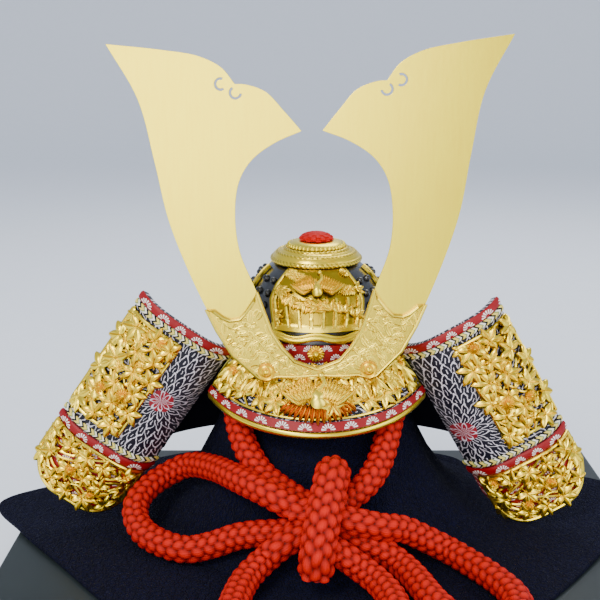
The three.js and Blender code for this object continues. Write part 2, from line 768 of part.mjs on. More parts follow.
function clothPoint(a, b) {
  const edge = clothBoundary.getPoint(((a % 1) + 1) % 1);
  const [dx, dy] = [edge.x, edge.y - coreSet];
  const angle = Math.atan2(dx, -dy);
  const reach = Math.hypot(dx, dy);
  const [neck, foot, slope] = tentAt(angle);
  const flare = Math.min(foot, reach - 1) + foldAt(angle);
  const head = neck * headShare;
  const rings = [
    [0, clothTop - clothWall], [head * 0.5, clothTop - clothWall - 1.6], [head * 0.86, clothTop - clothWall - 9],
    [head, clothTop - clothWall - 24], [neck * 0.8, tentHeight + 10], [neck, tentHeight],
  ];
  for (const share of [0.14, 0.3, 0.5, 0.74, 1]) {
    const radius = lerp(neck, flare, share);
    rings.push([radius, tentBase + (tentHeight - tentBase) * (1 - share) ** slope]);
  }
  rings.push([Math.max(reach, flare + 1), tentBase]);
  const at = Math.min(Math.max(b, 0), 0.99999) * (rings.length - 1);
  const row = Math.floor(at);
  const radius = lerp(rings[row][0], rings[row + 1][0], at - row);
  const z = lerp(rings[row][1], rings[row + 1][1], at - row);
  return new THREE.Vector3((radius * dx) / reach, coreSet + (radius * dy) / reach, z);
}

const clothRings = 11;
const clothDirections = 28;
const clothSurface = (a, b) => clothPoint(1 - a, b);

function standCore() {
  const side = tentRows.back[0] * headShare - 2.2;
  const profile = [
    [0, boardTop + clearance], [coreFootRadius, boardTop + clearance], [coreFootRadius, boardTop + coreFootHeight],
    [coreStemRadius, boardTop + coreFootHeight + 4], [coreStemRadius, tentHeight + 8], [side, coreTop - 26],
    [side * 0.92, coreTop - 10], [side * 0.55, coreTop - 2.6], [0, coreTop],
  ];
  const points = profile.map(([radius, z]) => new THREE.Vector2(radius, z));
  return new THREE.LatheGeometry(points, 14).rotateX(Math.PI / 2).translate(0, coreSet, 0);
}

add('stand_core', standCore(), plainWood());
add('cloth_cover', sheet(clothSurface, clothDirections, clothRings, 0, clothWall, true), navyCrepe());

// Chin cord, tied in a bow on the slope of the cloth. Each route is a list of chosen points.
const cordRoutes = {
  cord_loop_left: [[-3, -87, 57], [-12.4, -86, 59.4], [-18, -83, 61.4], [-24.1, -77.6, 62.2], [-29.9, -70.6, 62],
    [-35.9, -61.4, 61], [-41.8, -51.6, 59.2], [-54.6, -37, 54.6], [-64.2, -37, 50], [-70.8, -44, 47.4],
    [-74.4, -53.2, 44.6], [-73.6, -61, 41.2], [-69.2, -69, 39], [-60.2, -77.2, 38.1], [-50.6, -82, 38.3],
    [-40.9, -82.4, 40.4], [-31.7, -82.6, 43.8], [-23.7, -84.4, 46], [-12.4, -87.6, 48.4], [-3, -88, 52]],
  cord_loop_right: [[2, -88, 56], [9, -90.5, 55.2], [18.1, -90.4, 53], [25, -88.6, 50.8], [32.1, -84.6, 48.2],
    [41.7, -82.4, 42.8], [50.8, -84.6, 38.9], [58.4, -93.9, 38], [65.2, -105.8, 38], [69, -116.1, 38],
    [69, -127, 38], [62, -136, 38], [51, -137, 38], [43, -127, 38], [38.9, -116.1, 38],
    [35.6, -104.6, 38], [31, -95, 38.6], [25, -90.6, 41.4], [15, -88.6, 45.2], [3, -88, 52]],
  cord_tail_left: [[-2, -88, 53], [-13.5, -95.8, 47], [-20.5, -98, 41.8], [-26.2, -104.6, 38.6],
    [-29.6, -117.8, 38], [-31, -129, 38]],
  cord_tail_right: [[0, -98, 50], [8.9, -99.6, 44.8], [15.5, -101.6, 40.6], [21, -106.6, 38.4], [25, -116.1, 38],
    [27.2, -129, 38]],
  cord_strand_left: [[-33.5, -30, 91.5], [-34.8, -34, 86], [-33.6, -40.6, 79], [-30.6, -50.8, 72], [-26, -60, 66.2],
    [-20.5, -67.4, 62]],
  cord_strand_right: [[32.6, -30, 91.5], [33.4, -35.4, 86], [30.4, -45.4, 78], [28, -53.4, 72], [25.4, -60, 66.6],
    [20, -69, 61], [10, -77, 56]],
};
const wrapRoute = [[5.4, -74, 62], [5.7, -77.5, 68], [4.9, -83.5, 68.6], [3, -92.5, 63.4], [0.7, -101, 55.4],
  [-0.8, -105.5, 46.8], [-1.2, -105, 40.6]];
const knotCore = { x: 0, y: -87, z: 54, radii: [13, 11, 9] };

function route(points) {
  return new THREE.CatmullRomCurve3(points.map((point) => new THREE.Vector3(...point)), false, 'centripetal');
}

function tube(points, radius, step, sides = 8) {
  const path = route(points);
  const section = new THREE.Shape();
  for (let i = 0; i < sides; i++) {
    const angle = (i / sides) * 2 * Math.PI;
    const [x, y] = [radius * Math.cos(angle), radius * Math.sin(angle)];
    if (i) section.lineTo(x, y);
    else section.moveTo(x, y);
  }
  const steps = Math.ceil(path.getLength() / step);
  return new THREE.ExtrudeGeometry(section, { steps, extrudePath: path, bevelEnabled: false });
}

function knot(grow) {
  const [rx, ry, rz] = knotCore.radii;
  const core = new THREE.SphereGeometry(1, 8, 6).scale(rx + grow, ry + grow, rz + grow);
  core.translate(knotCore.x, knotCore.y, knotCore.z);
  return join(tube(wrapRoute, wrapRadius + grow, 8, 8), core);
}

add('cord_knot', knot(0), redCord());
// Each stretch ends against the knot, and gives way to those that were laid before it
const laid = [knot(clearance)];
for (const [name, points] of Object.entries(cordRoutes)) {
  add(name, cut(tube(points, cordDiameter / 2, cordStep), ...laid), redCord());
  laid.push(tube(points, cordDiameter / 2 + clearance, cordStep));
}

// Each tail ends in a whipped tuft
for (const side of ['left', 'right']) {
  const path = route(cordRoutes[`cord_tail_${side}`]);
  const [end, way] = [path.getPoint(1), path.getTangent(1)];
  const r = cordDiameter / 2;
  const profile = [[0, 0], [r * 0.9, 0], [r * 0.72, 2], [r * 0.7, 3.4], [r * 0.95, 6], [r * 0.85, endTuftLength],
    [0, endTuftLength]];
  const tuft = new THREE.LatheGeometry(profile.map(([radius, y]) => new THREE.Vector2(radius, y)), 7);
  tuft.applyQuaternion(new THREE.Quaternion().setFromUnitVectors(new THREE.Vector3(0, 1, 0), way));
  const place = end.addScaledVector(way, clearance);
  add(`cord_end_${side}`, tuft.translate(place.x, place.y, place.z), redCord());
}

export default group;
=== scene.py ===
"""Looks of a display kabuto on its cloth-draped stand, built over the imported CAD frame.

Shapes are worked out in millimetres in the part's own frame (+Z up, the helmet looks along -Y)
and become metres when a mesh is made.
"""

import logging
import math
from dataclasses import dataclass
from enum import Enum
from typing import Callable, Optional, Sequence

import bmesh
import bpy
from mathutils import Matrix, Vector


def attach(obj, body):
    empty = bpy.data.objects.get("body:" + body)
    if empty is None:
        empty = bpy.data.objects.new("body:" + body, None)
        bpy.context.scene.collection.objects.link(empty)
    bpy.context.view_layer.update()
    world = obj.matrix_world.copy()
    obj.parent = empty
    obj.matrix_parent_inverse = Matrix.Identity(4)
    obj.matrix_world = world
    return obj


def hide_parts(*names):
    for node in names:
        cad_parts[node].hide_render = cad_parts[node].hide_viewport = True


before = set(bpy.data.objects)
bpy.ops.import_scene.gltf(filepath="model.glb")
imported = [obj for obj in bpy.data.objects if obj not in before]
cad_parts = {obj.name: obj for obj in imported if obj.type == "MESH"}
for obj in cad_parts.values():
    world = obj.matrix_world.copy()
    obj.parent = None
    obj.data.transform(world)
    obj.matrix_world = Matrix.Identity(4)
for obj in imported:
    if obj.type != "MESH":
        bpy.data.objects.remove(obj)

log = logging.getLogger("kabuto")

MM = 0.001
TAU = 2 * math.pi
BODY = "root"
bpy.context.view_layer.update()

SMOOTH = 38.0
NEARLY_NONE = 1e-6

Pair = tuple[float, float]
Colour = tuple[float, float, float]
Surface = Callable[[float, float], Vector]
Relief = Callable[[float, float], float]
Section = Callable[[float, float], Pair]


def lerp(a: float, b: float, share: float) -> float:
    """Value at a share of the way from a to b."""
    return a + (b - a) * share


def spline(points: Sequence[Vector], per_span: int, closed: bool = False) -> list[Vector]:
    """Smooth curve through points, as a centripetal Catmull-Rom spline.

    Args:
        points: the points that the curve passes.
        per_span: samples between two neighbouring points.
        closed: whether the curve returns to its first point.

    Returns:
        The sampled points. A closed curve doesn't repeat its first one.
    """
    count = len(points)
    spans = count if closed else count - 1
    out = []

    def pick(i: int) -> Vector:
        if closed:
            return points[i % count]
        if i < 0:
            return points[0] * 2 - points[1]
        if i >= count:
            return points[-1] * 2 - points[-2]
        return points[i]

    for i in range(spans):
        p = [pick(i + k - 1) for k in range(4)]
        gaps = [max((p[k + 1] - p[k]).length, NEARLY_NONE) ** 0.5 for k in range(3)]
        ways = [(p[k + 1] - p[k]) / gaps[k] for k in range(3)]
        start = (ways[0] - (p[2] - p[0]) / (gaps[0] + gaps[1]) + ways[1]) * gaps[1]
        end = (ways[1] - (p[3] - p[1]) / (gaps[1] + gaps[2]) + ways[2]) * gaps[1]
        for k in range(per_span):
            t = k / per_span
            rise = t * t * (3 - 2 * t)
            lead = t * (1 - t) ** 2
            trail = t * t * (t - 1)
            out.append(p[1] * (1 - rise) + p[2] * rise + start * lead + end * trail)
    if not closed:
        out.append(points[-1].copy())
    return out


def evenly(points: Sequence[Vector], step: float) -> list[Vector]:
    """The same line with its points a fixed step apart."""
    reach = [0.0]
    for a, b in zip(points, points[1:]):
        reach.append(reach[-1] + (b - a).length)
    count = max(2, round(reach[-1] / step))
    out = []
    at = 0
    for i in range(count + 1):
        want = reach[-1] * i / count
        while at < len(points) - 2 and reach[at + 1] < want:
            at += 1
        span = max(reach[at + 1] - reach[at], NEARLY_NONE)
        out.append(points[at].lerp(points[at + 1], (want - reach[at]) / span))
    return out


@dataclass(frozen=True)
class Spot:
    """A place to set an ornament: a point with its outward normal and its direction along."""

    point: Vector
    normal: Vector
    along: Vector

    def at(self, x: float, y: float, z: float) -> Vector:
        """Point at x along, y across and z out of the spot."""
        return self.point + self.along * x + self.normal.cross(self.along) * y + self.normal * z


def spot_on(surface: Surface, a: float, b: float, raised: float = 0.0) -> Spot:
    """The spot of a surface at the shares a and b, raised along the normal."""
    reach = 1e-3
    along = surface(a + reach, b) - surface(a - reach, b)
    up = surface(a, min(b + reach, 1)) - surface(a, max(b - reach, 0))
    normal = along.cross(up)
    if normal.length < 1e-9:
        normal = Vector((0, 0, 1))
    normal.normalize()
    return Spot(surface(a, b) + normal * raised, normal, along.normalized())


def trace(surface: Surface, steps: int, raised: float, way: Callable[[float], Pair]) -> list[Vector]:
    """Points of a line drawn a little off a surface.

    Args:
        surface: what the line is drawn on.
        steps: number of steps along the line.
        raised: distance from the surface.
        way: the shares a and b for a share of the line.

    Returns:
        The points, with both ends.
    """
    return [spot_on(surface, *way(k / steps), raised).point for k in range(steps + 1)]


def drawing(pairs: Sequence[Pair], side: int = 1) -> list[Vector]:
    """Points of a flat drawing, mirrored where the side is -1."""
    return [Vector((x * side, y, 0)) for x, y in pairs]


class Shell:
    """Collects closed bodies, with a lift value and a UV at each point, for one mesh object. The lift sets
    painted shade: the cast, cord and lacing materials paint low-lift points dark.
    """

    def __init__(self) -> None:
        self.points: list[Vector] = []
        self.faces: list[tuple[int, ...]] = []
        self.lifts: list[float] = []
        self.uvs: list[tuple[float, float]] = []

    def point(self, place: Vector, lift: float = 1.0, uv: Pair = (0.0, 0.0)) -> int:
        """Adds one point and returns its number."""
        self.points.append(place)
        self.lifts.append(lift)
        self.uvs.append(uv)
        return len(self.points) - 1

    def ring_faces(self, first: Sequence[int], second: Sequence[int]) -> None:
        """Quads between two closed rings of the same count."""
        count = len(first)
        for i in range(count):
            j = (i + 1) % count
            self.faces.append((first[i], first[j], second[j], second[i]))

    def fan(self, ring: Sequence[int], centre: int) -> None:
        """Triangles from a closed ring to one point."""
        for i in range(len(ring)):
            self.faces.append((ring[i], ring[(i + 1) % len(ring)], centre))

    def sheet(
        self,
        surface: Surface,
        steps: tuple[int, int],
        near: float,
        far: float,
        relief: Optional[Relief] = None,
        size: Pair = (1.0, 1.0),
        wrapped: bool = False,
        origin: Pair = (0.0, 0.0),
    ) -> None:
        """Adds a thin closed solid that follows a surface.

        Args:
            surface: point for the shares a and b.
            steps: number of cells along a and along b.
            near: distance of the back face along the normal.
            far: distance of the front face along the normal.
            relief: share of the wall's outer half that stands at a and b, or None for all of it.
            size: UV size along a and b.
            wrapped: whether the sheet closes on itself along a.
            origin: UV place of the pattern's middle.
        """
        na, nb = steps
        front, back = [], []
        for j in range(nb + 1):
            front_row, back_row = [], []
            for i in range(na if wrapped else na + 1):
                a, b = i / na, j / nb
                at = spot_on(surface, a, b)
                share = relief(a, b) if relief else 1.0
                height = lerp(lerp(near, far, 0.5), far, share)
                uv = (a * size[0] - origin[0], b * size[1] - origin[1])
                # The relief share is also the lift, so low relief is painted as shade; the back gets a low
                # lift (0.3) and is painted shaded too.
                front_row.append(self.point(at.point + at.normal * height, share, uv))
                back_row.append(self.point(at.point + at.normal * near, 0.3, uv))
            front.append(front_row)
            back.append(back_row)
        for j in range(nb):
            for i in range(na):
                k = (i + 1) % len(front[0])
                self.faces.append((front[j][i], front[j][k], front[j + 1][k], front[j + 1][i]))
                self.faces.append((back[j][i], back[j + 1][i], back[j + 1][k], back[j][k]))
        for i in range(na):
            k = (i + 1) % len(front[0])
            self.faces.append((back[0][i], back[0][k], front[0][k], front[0][i]))
            self.faces.append((front[nb][i], front[nb][k], back[nb][k], back[nb][i]))
        if wrapped:
            return
        for j in range(nb):
            self.faces.append((front[j][0], front[j + 1][0], back[j + 1][0], back[j][0]))
            self.faces.append((back[j][na], back[j + 1][na], front[j + 1][na], front[j][na]))

    def rosette(
        self,
        spot: Spot,
        radius: Callable[[float], float],
        height: Relief,
        segments: int = 24,
        rings: int = 4,
        base: float = -0.6,
        turn: float = 0.0,
    ) -> None:
        """Adds a raised ornament whose outline can be seen from its own middle.

        Args:
            spot: where it is set.
            radius: reach in each direction.
            height: height for the share of the radius and the direction.
            segments: steps round it.
            rings: steps from the middle to the edge.
            base: level of its underside.
            turn: turn about the normal, in radians.
        """
        top = max(height(0, 0), height(0.4, 0), NEARLY_NONE)

        def ring(share: float, foot: bool = False) -> list[int]:
            row = []
            for k in range(segments):
                way = TAU * k / segments
                reach = radius(way) * share
                rise = base if foot else height(share, way)
                # Lower points get less lift and so more painted shade; the foot is painted fully shaded.
                lift = 0.0 if foot else max(0.0, min(1.0, rise / top))
                aim = way + turn
                row.append(self.point(spot.at(reach * math.cos(aim), reach * math.sin(aim), rise), lift))
            return row

        middle = self.point(spot.at(0, 0, height(0, 0)))
        rows = [ring(r / rings) for r in range(1, rings + 1)]
        rows.append(ring(1.0, foot=True))
        under = self.point(spot.at(0, 0, base), 0.0)
        self.fan(rows[0], middle)
        for inner, outer in zip(rows, rows[1:]):
            self.ring_faces(inner, outer)
        self.fan(rows[-1], under)

    def leaf(self, spot: Spot, length: float, width: float, turn: float, height: float) -> None:
        """Adds one pointed leaf with a groove along its middle, which grows from the spot.

        Args:
            spot: where it grows from.
            length: its length.
            width: its width at the widest.
            turn: its direction about the normal, in radians.
            height: its height at the middle.
        """
        rows, side_steps = 8, 3
        base = -0.5
        groove_depth, groove_width = 0.42, 0.2
        cosine, sine = math.cos(turn), math.sin(turn)

        def place(x: float, y: float, z: float) -> Vector:
            return spot.at(x * cosine - y * sine, x * sine + y * cosine, z)

        rings = []
        for row in range(1, rows):
            s = row / rows
            half = width / 2 * math.sin(math.pi * s**0.85) ** 0.75
            rise = height * (0.55 + 0.45 * math.sin(math.pi * s))
            ring = []
            for k in range(2 * side_steps + 1):
                t = k / side_steps - 1
                groove = groove_depth * math.exp(-((t / groove_width) ** 2))
                share = 0.5 + 0.5 * (1 - t * t) - groove
                # Lift follows the leaf's height, so its groove and its foot are painted as shade.
                ring.append(self.point(place(length * s, half * t, rise * share), 0.25 + 0.75 * share))
            ring.append(self.point(place(length * s, half, base), 0.0))
            ring.append(self.point(place(length * s, -half, base), 0.0))
            rings.append(ring)
        for first, second in zip(rings, rings[1:]):
            self.ring_faces(first, second)
        self.fan(rings[0], self.point(place(0, 0, height * 0.3), 0.4))
        self.fan(rings[-1], self.point(place(length, 0, height * 0.2), 0.8))

    def tube(
        self,
        path: Sequence[Vector],
        radius: Section,
        sides: int,
        closed: bool = False,
    ) -> None:
        """Adds a tube along a path.

        Args:
            path: its centre line.
            radius: radius and lift for the direction round it and the distance along it; low lift is painted
                as shade.
            sides: steps round it.
            closed: whether the path returns to its first point.
        """
        rings = []
        distance = 0.0
        count = len(path)
        across = Vector((1, 0, 0))
        for i, place in enumerate(path):
            following = path[(i + 1) % count] if closed or i < count - 1 else place * 2 - path[i - 1]
            before = path[i - 1] if closed or i else place * 2 - following
            way = (following - before).normalized()
            if i == 0:
                across = way.cross(Vector((0, 0, 1)))
                if across.length < 1e-3:
                    across = way.cross(Vector((0, 1, 0)))
            across = (across - way * across.dot(way)).normalized()
            rise = across.cross(way)
            ring = []
            for k in range(sides):
                angle = TAU * k / sides
                reach, lift = radius(angle, distance)
                offset = across * (reach * math.cos(angle)) + rise * (reach * math.sin(angle))
                ring.append(self.point(place + offset, lift, (angle * 4, distance)))
            rings.append(ring)
            distance += (following - place).length
        for first, second in zip(rings, rings[1:]):
            self.ring_faces(first, second)
        if closed:
            self.ring_faces(rings[-1], rings[0])
            return
        for ring, place in ((rings[0], path[0]), (rings[-1], path[-1])):
            self.fan(ring, self.point(place, 0.5))

    def wire(self, path: Sequence[Vector], size: float, sides: int = 6, closed: bool = False) -> None:
        """Adds a plain round wire along a path."""
        self.tube(path, lambda angle, distance: (size, 0.85), sides, closed)

    def lathe(
        self,
        profile: Sequence[Pair],
        segments: int,
        place: Callable[[float, float, float], Vector],
        ripple: Optional[Callable[[float, int], float]] = None,
    ) -> None:
        """Adds a turned solid whose profile starts and ends on the axis or returns to its start.

        Args:
            profile: radius and height pairs.
            segments: steps round the axis.
            place: point for a radius, an angle and a height.
            ripple: share of the radius for an angle and a row of the profile, also used as the lift, so
                sunken points are painted as shade.
        """
        rings = []
        for row, (radius, height) in enumerate(profile):
            if radius < NEARLY_NONE:
                rings.append([self.point(place(0, 0, height))])
                continue
            ring = []
            for k in range(segments):
                angle = TAU * k / segments
                share = ripple(angle, row) if ripple else 1.0
                ring.append(self.point(place(radius * share, angle, height), 1.0 if share >= 1 else share))
            rings.append(ring)
        for first, second in zip(rings, rings[1:]):
            if len(first) == 1:
                self.fan(second, first[0])
            elif len(second) == 1:
                self.fan(first, second[0])
            else:
                self.ring_faces(first, second)

    def plate(
        self,
        outline: Sequence[Vector],
        holes: Sequence[Sequence[Vector]],
        back: float,
        front: float,
        matrix: Matrix,
        edge: float,
    ) -> None:
        """Adds a flat plate with holes and softened edges.

        Args:
            outline: its outer edge on XY.
            holes: the edges of its holes.
            back: level of its back face.
            front: level of its front face.
            matrix: place of the plate.
            edge: width of the softened edge.
        """
        bm = bmesh.new()
        for loop in [outline, *holes]:
            ring = [bm.verts.new((p.x, p.y, back)) for p in loop]
            for i, vert in enumerate(ring):
                bm.edges.new((vert, ring[(i + 1) % len(ring)]))
        bmesh.ops.triangle_fill(bm, use_beauty=True, use_dissolve=False, edges=bm.edges[:])
        grown = bmesh.ops.extrude_face_region(bm, geom=bm.faces[:])
        moved = [item for item in grown["geom"] if isinstance(item, bmesh.types.BMVert)]
        bmesh.ops.translate(bm, vec=(0, 0, front - back), verts=moved)
        bmesh.ops.recalc_face_normals(bm, faces=bm.faces[:])
        sharp_turn = 1.2
        rim = [e for e in bm.edges if len(e.link_faces) == 2 and e.calc_face_angle() > sharp_turn]
        bmesh.ops.bevel(
            bm, geom=rim, offset=edge, offset_type="OFFSET", segments=2, profile=0.5,
            affect="EDGES", clamp_overlap=True, material=-1,
        )
        bm.verts.index_update()
        numbers = {}
        for vert in bm.verts:
            numbers[vert.index] = self.point(matrix @ vert.co, 1.0, (vert.co.x, vert.co.y))
        for face in bm.faces:
            self.faces.append(tuple(numbers[v.index] for v in face.verts))
        bm.free()

    def to_object(self, name: str, material: bpy.types.Material, smooth: float) -> bpy.types.Object:
        """Makes one mesh object in metres, with normals out, smooth shading below an angle, and the lift
        stored as an attribute for the painted shade.
        """
        mesh = bpy.data.meshes.new(name)
        mesh.from_pydata([tuple(p * MM) for p in self.points], [], self.faces)
        # Lift attribute: the materials read it to paint shade into hollows and grooves.
        lift = mesh.attributes.new("lift", "FLOAT", "POINT")
        lift.data.foreach_set("value", self.lifts)
        layer = mesh.uv_layers.new(name="UVMap")
        for loop in mesh.loops:
            layer.data[loop.index].uv = self.uvs[loop.vertex_index]
        bm = bmesh.new()
        bm.from_mesh(mesh)
        bmesh.ops.recalc_face_normals(bm, faces=bm.faces[:])
        bm.to_mesh(mesh)
        bm.free()
        mesh.shade_smooth()
        mesh.set_sharp_from_angle(angle=math.radians(smooth))
        mesh.materials.append(material)
        obj = bpy.data.objects.new(name, mesh)
        bpy.context.scene.collection.objects.link(obj)
        return obj


class Pattern(Enum):
    """What a material shows on its surface."""

    CAST = "cast"
    SATIN = "satin"
    LACQUER = "lacquer"
    PETALS = "petals"
    FIGURES = "figures"
    STRIPES = "stripes"
    CREPE = "crepe"
    CORD = "cord"
    LACING = "lacing"
    PLAIN = "plain"


@dataclass(frozen=True)
class Finish:
    """Colours and surface of one material."""

    name: str
    slot: str
    pattern: Pattern
    colour: Colour
    # second: for the cast, cord and lacing patterns this is painted shade, laid where the lift is low; for
    # the others it is a second colour of the thing.
    second: Colour
    roughness: float
    metallic: float = 0.0
    bump: float = 0.1
    scale: float = 400.0
    coat: float = 0.0
    sheen: float = 0.0
    specular: float = 0.5


def rgb(red: int, green: int, blue: int) -> Colour:
    """Linear colour of an 8-bit screen colour."""
    return tuple((c / 255) ** 2.2 for c in (red, green, blue))


# The second colours of the golds with the cast pattern are painted shade for hollows and grooves, laid by the
# lift.
CAST_GOLD = Finish(
    "cast_gold", "cast_gold", Pattern.CAST, rgb(248, 216, 66), rgb(118, 90, 12), 0.28, 1.0, 0.1, 900,
)
SATIN_GOLD = Finish(
    "satin_gold", "satin_gold", Pattern.SATIN, rgb(246, 222, 62), rgb(238, 208, 54), 0.3, 1.0, 0.04, 700,
)
PLAIN_GOLD = Finish(
    "plain_gold", "satin_gold", Pattern.CAST, rgb(248, 220, 74), rgb(170, 138, 30), 0.3, 1.0, 0.05, 900,
)
COPPER_GOLD = Finish(
    "copper_gold", "cast_gold", Pattern.CAST, rgb(184, 112, 28), rgb(96, 48, 8), 0.32, 1.0, 0.1, 900,
)
YELLOW_GOLD = Finish(
    "yellow_gold", "cast_gold", Pattern.CAST, rgb(250, 208, 22), rgb(204, 146, 8), 0.3, 0.85, 0.08, 900,
)
BLACK_LACQUER = Finish(
    "black_lacquer", "black_lacquer", Pattern.LACQUER, rgb(12, 13, 17), rgb(20, 21, 26), 0.3,
    bump=0.05, scale=260, coat=0.4,
)
BOARD_LACQUER = Finish(
    "board_lacquer", "board_lacquer", Pattern.LACQUER, rgb(30, 36, 36), rgb(36, 43, 43), 0.5,
    bump=0.03, scale=90, coat=0.05, specular=0.3,
)
PRINTED_LEATHER = Finish(
    "printed_leather", "printed_leather", Pattern.PETALS, rgb(14, 14, 30), rgb(226, 220, 230), 0.55,
    bump=0.12, scale=1500, specular=0.35,
)
RED_LEATHER = Finish(
    "red_leather", "red_leather", Pattern.FIGURES, rgb(146, 4, 18), rgb(244, 234, 226), 0.5,
    bump=0.12, scale=1500, specular=0.35,
)
BRAIDED_SILK = Finish(
    "braided_silk", "braided_silk", Pattern.STRIPES, rgb(222, 200, 96), rgb(14, 20, 18), 0.7, specular=0.3,
)
# Second colour: painted shade between the cords, laid by the lift.
NAVY_LACING = Finish(
    "navy_lacing", "laced_navy", Pattern.LACING, rgb(18, 20, 48), rgb(4, 4, 12), 0.8,
    bump=0.3, scale=1400, specular=0.25,
)
NAVY_CREPE = Finish(
    "navy_crepe", "navy_crepe", Pattern.CREPE, rgb(24, 26, 54), rgb(5, 6, 20), 0.95,
    bump=1.0, scale=520, sheen=0.01, specular=0.1,
)
# The cord finishes' second colours are painted shade in the valleys between stitches and in the grooves, laid
# by the lift.
RED_CORD = Finish(
    "red_cord", "red_cord", Pattern.CORD, rgb(196, 26, 0), rgb(58, 0, 6), 0.6,
    bump=0.2, scale=1800, specular=0.16,
)
TUFT_RED = Finish(
    "tuft_red", "red_cord", Pattern.CORD, rgb(200, 18, 4), rgb(96, 0, 8), 0.65,
    bump=0.3, scale=1800, specular=0.16,
)
PLAIN_WOOD = Finish("plain_wood", "plain_wood", Pattern.PLAIN, rgb(190, 150, 100), rgb(160, 120, 76), 0.6)
FLOOR = Finish("floor_paper", "", Pattern.PLAIN, rgb(238, 243, 252), rgb(234, 240, 250), 0.9, bump=0.0)

HEART_RED = rgb(138, 16, 34)
BRAID_GREEN = rgb(84, 120, 70)
BRAID_WHITE = rgb(236, 230, 206)
COAT_ROUGHNESS = 0.2
BUMP_DISTANCE, CREPE_BUMP_DISTANCE = 0.0006, 0.0014
BRAID_MIDDLE = 1.2
# Lift range of each shaded pattern: below the low end the second colour paints full shade, above the high end
# the finish's own colour shows.
SHADE_LIFT_RANGES = {Pattern.CAST: (0.1, 0.8), Pattern.CORD: (0.05, 0.95), Pattern.LACING: (0.1, 0.8)}


class Tree:
    """Short way to add and join nodes in a node tree."""

    def __init__(self, nodes_of: bpy.types.NodeTree) -> None:
        self.tree = nodes_of

    def add(self, kind: str, inputs: Optional[dict] = None, **settings) -> bpy.types.Node:
        """Adds a node, sets its properties, and sets or joins its inputs."""
        node = self.tree.nodes.new(kind)
        for key, value in settings.items():
            setattr(node, key, value)
        for key, value in (inputs or {}).items():
            if isinstance(value, bpy.types.NodeSocket):
                self.tree.links.new(value, node.inputs[key])
            else:
                node.inputs[key].default_value = value
        return node

    def math(self, operation: str, first, second=0.0) -> bpy.types.NodeSocket:
        """Adds a math node and returns its value."""
        return self.add("ShaderNodeMath", {0: first, 1: second}, operation=operation).outputs[0]

    def mix(self, share, first, second) -> bpy.types.NodeSocket:
        """Adds a colour mix and returns its colour."""
        node = self.tree.nodes.new("ShaderNodeMix")
        node.data_type = "RGBA"
        for key, value in ((0, share), (6, first), (7, second)):
            if isinstance(value, bpy.types.NodeSocket):
                self.tree.links.new(value, node.inputs[key])
            else:
                node.inputs[key].default_value = value if key == 0 else (*value, 1.0)
        return node.outputs[2]


def group_tree(name: str, values: dict[str, float], outputs: Sequence[str]) -> tuple:
    """Makes a shader node group that takes a vector and some values and gives out values.

    Args:
        name: name of the group.
        values: its value inputs with their defaults.
        outputs: names of its value outputs.

    Returns:
        The group's tree, its input node and its output node.
    """
    tree = bpy.data.node_groups.new(name, "ShaderNodeTree")
    tree.interface.new_socket(name="Vector", in_out="INPUT", socket_type="NodeSocketVector")
    for label, value in values.items():
        socket = tree.interface.new_socket(name=label, in_out="INPUT", socket_type="NodeSocketFloat")
        socket.default_value = value
    for label in outputs:
        tree.interface.new_socket(name=label, in_out="OUTPUT", socket_type="NodeSocketFloat")
    kit = Tree(tree)
    return kit, kit.add("NodeGroupInput"), kit.add("NodeGroupOutput")


def petal_group() -> bpy.types.NodeTree:
    """Line drawing of narrow petals in rings round a rosette.

    Returns:
        A group that outputs a mask of the lines and a mask of the rosette's heart.
    """
    kit, start, end = group_tree("PetalLines", {"Petals": 8.0, "Spacing": 4.6}, ("Lines", "Heart"))
    calc = kit.math
    vector, petals, spacing = (start.outputs[name] for name in ("Vector", "Petals", "Spacing"))
    line, side_start, arch_height, arch_drop = 0.1, 0.84, 0.95, 0.8
    wander = kit.add("ShaderNodeTexNoise", {"Vector": vector, "Scale": 0.28, "Detail": 2.0}).outputs["Color"]
    shifted = kit.add("ShaderNodeVectorMath", {0: wander, 1: (0.5, 0.5, 0.5)}, operation="SUBTRACT")
    steps = {0: shifted.outputs[0], 1: (2.6, 2.6, 0.0), 2: vector}
    drawn = kit.add("ShaderNodeVectorMath", steps, operation="MULTIPLY_ADD").outputs[0]
    parts = kit.add("ShaderNodeSeparateXYZ", {0: drawn})
    distance = kit.add("ShaderNodeVectorMath", {0: drawn}, operation="LENGTH").outputs["Value"]
    angle = calc("ARCTAN2", parts.outputs[1], parts.outputs[0])
    ring = calc("DIVIDE", distance, spacing)
    row = calc("FLOOR", ring)
    count = calc("MULTIPLY", petals, calc("ADD", row, 1.0))
    share = calc("MULTIPLY", calc("DIVIDE", angle, TAU), count)
    turn = calc("FRACT", calc("ADD", share, calc("MULTIPLY", row, 0.5)))
    across = calc("MULTIPLY", calc("ABSOLUTE", calc("SUBTRACT", turn, 0.5)), 2.0)
    arch = calc("SUBTRACT", arch_height, calc("MULTIPLY", calc("POWER", across, 1.5), arch_drop))
    up = calc("SUBTRACT", calc("FRACT", ring), arch)
    edge = calc("LESS_THAN", calc("ABSOLUTE", up), line)
    side = calc("MULTIPLY", calc("GREATER_THAN", across, side_start), calc("LESS_THAN", up, 0.0))
    vein = calc("MULTIPLY", calc("LESS_THAN", across, line), calc("LESS_THAN", up, -0.5))
    kit.tree.links.new(calc("MAXIMUM", calc("MAXIMUM", edge, side), vein), end.inputs["Lines"])
    kit.tree.links.new(calc("LESS_THAN", distance, spacing), end.inputs["Heart"])
    return kit.tree


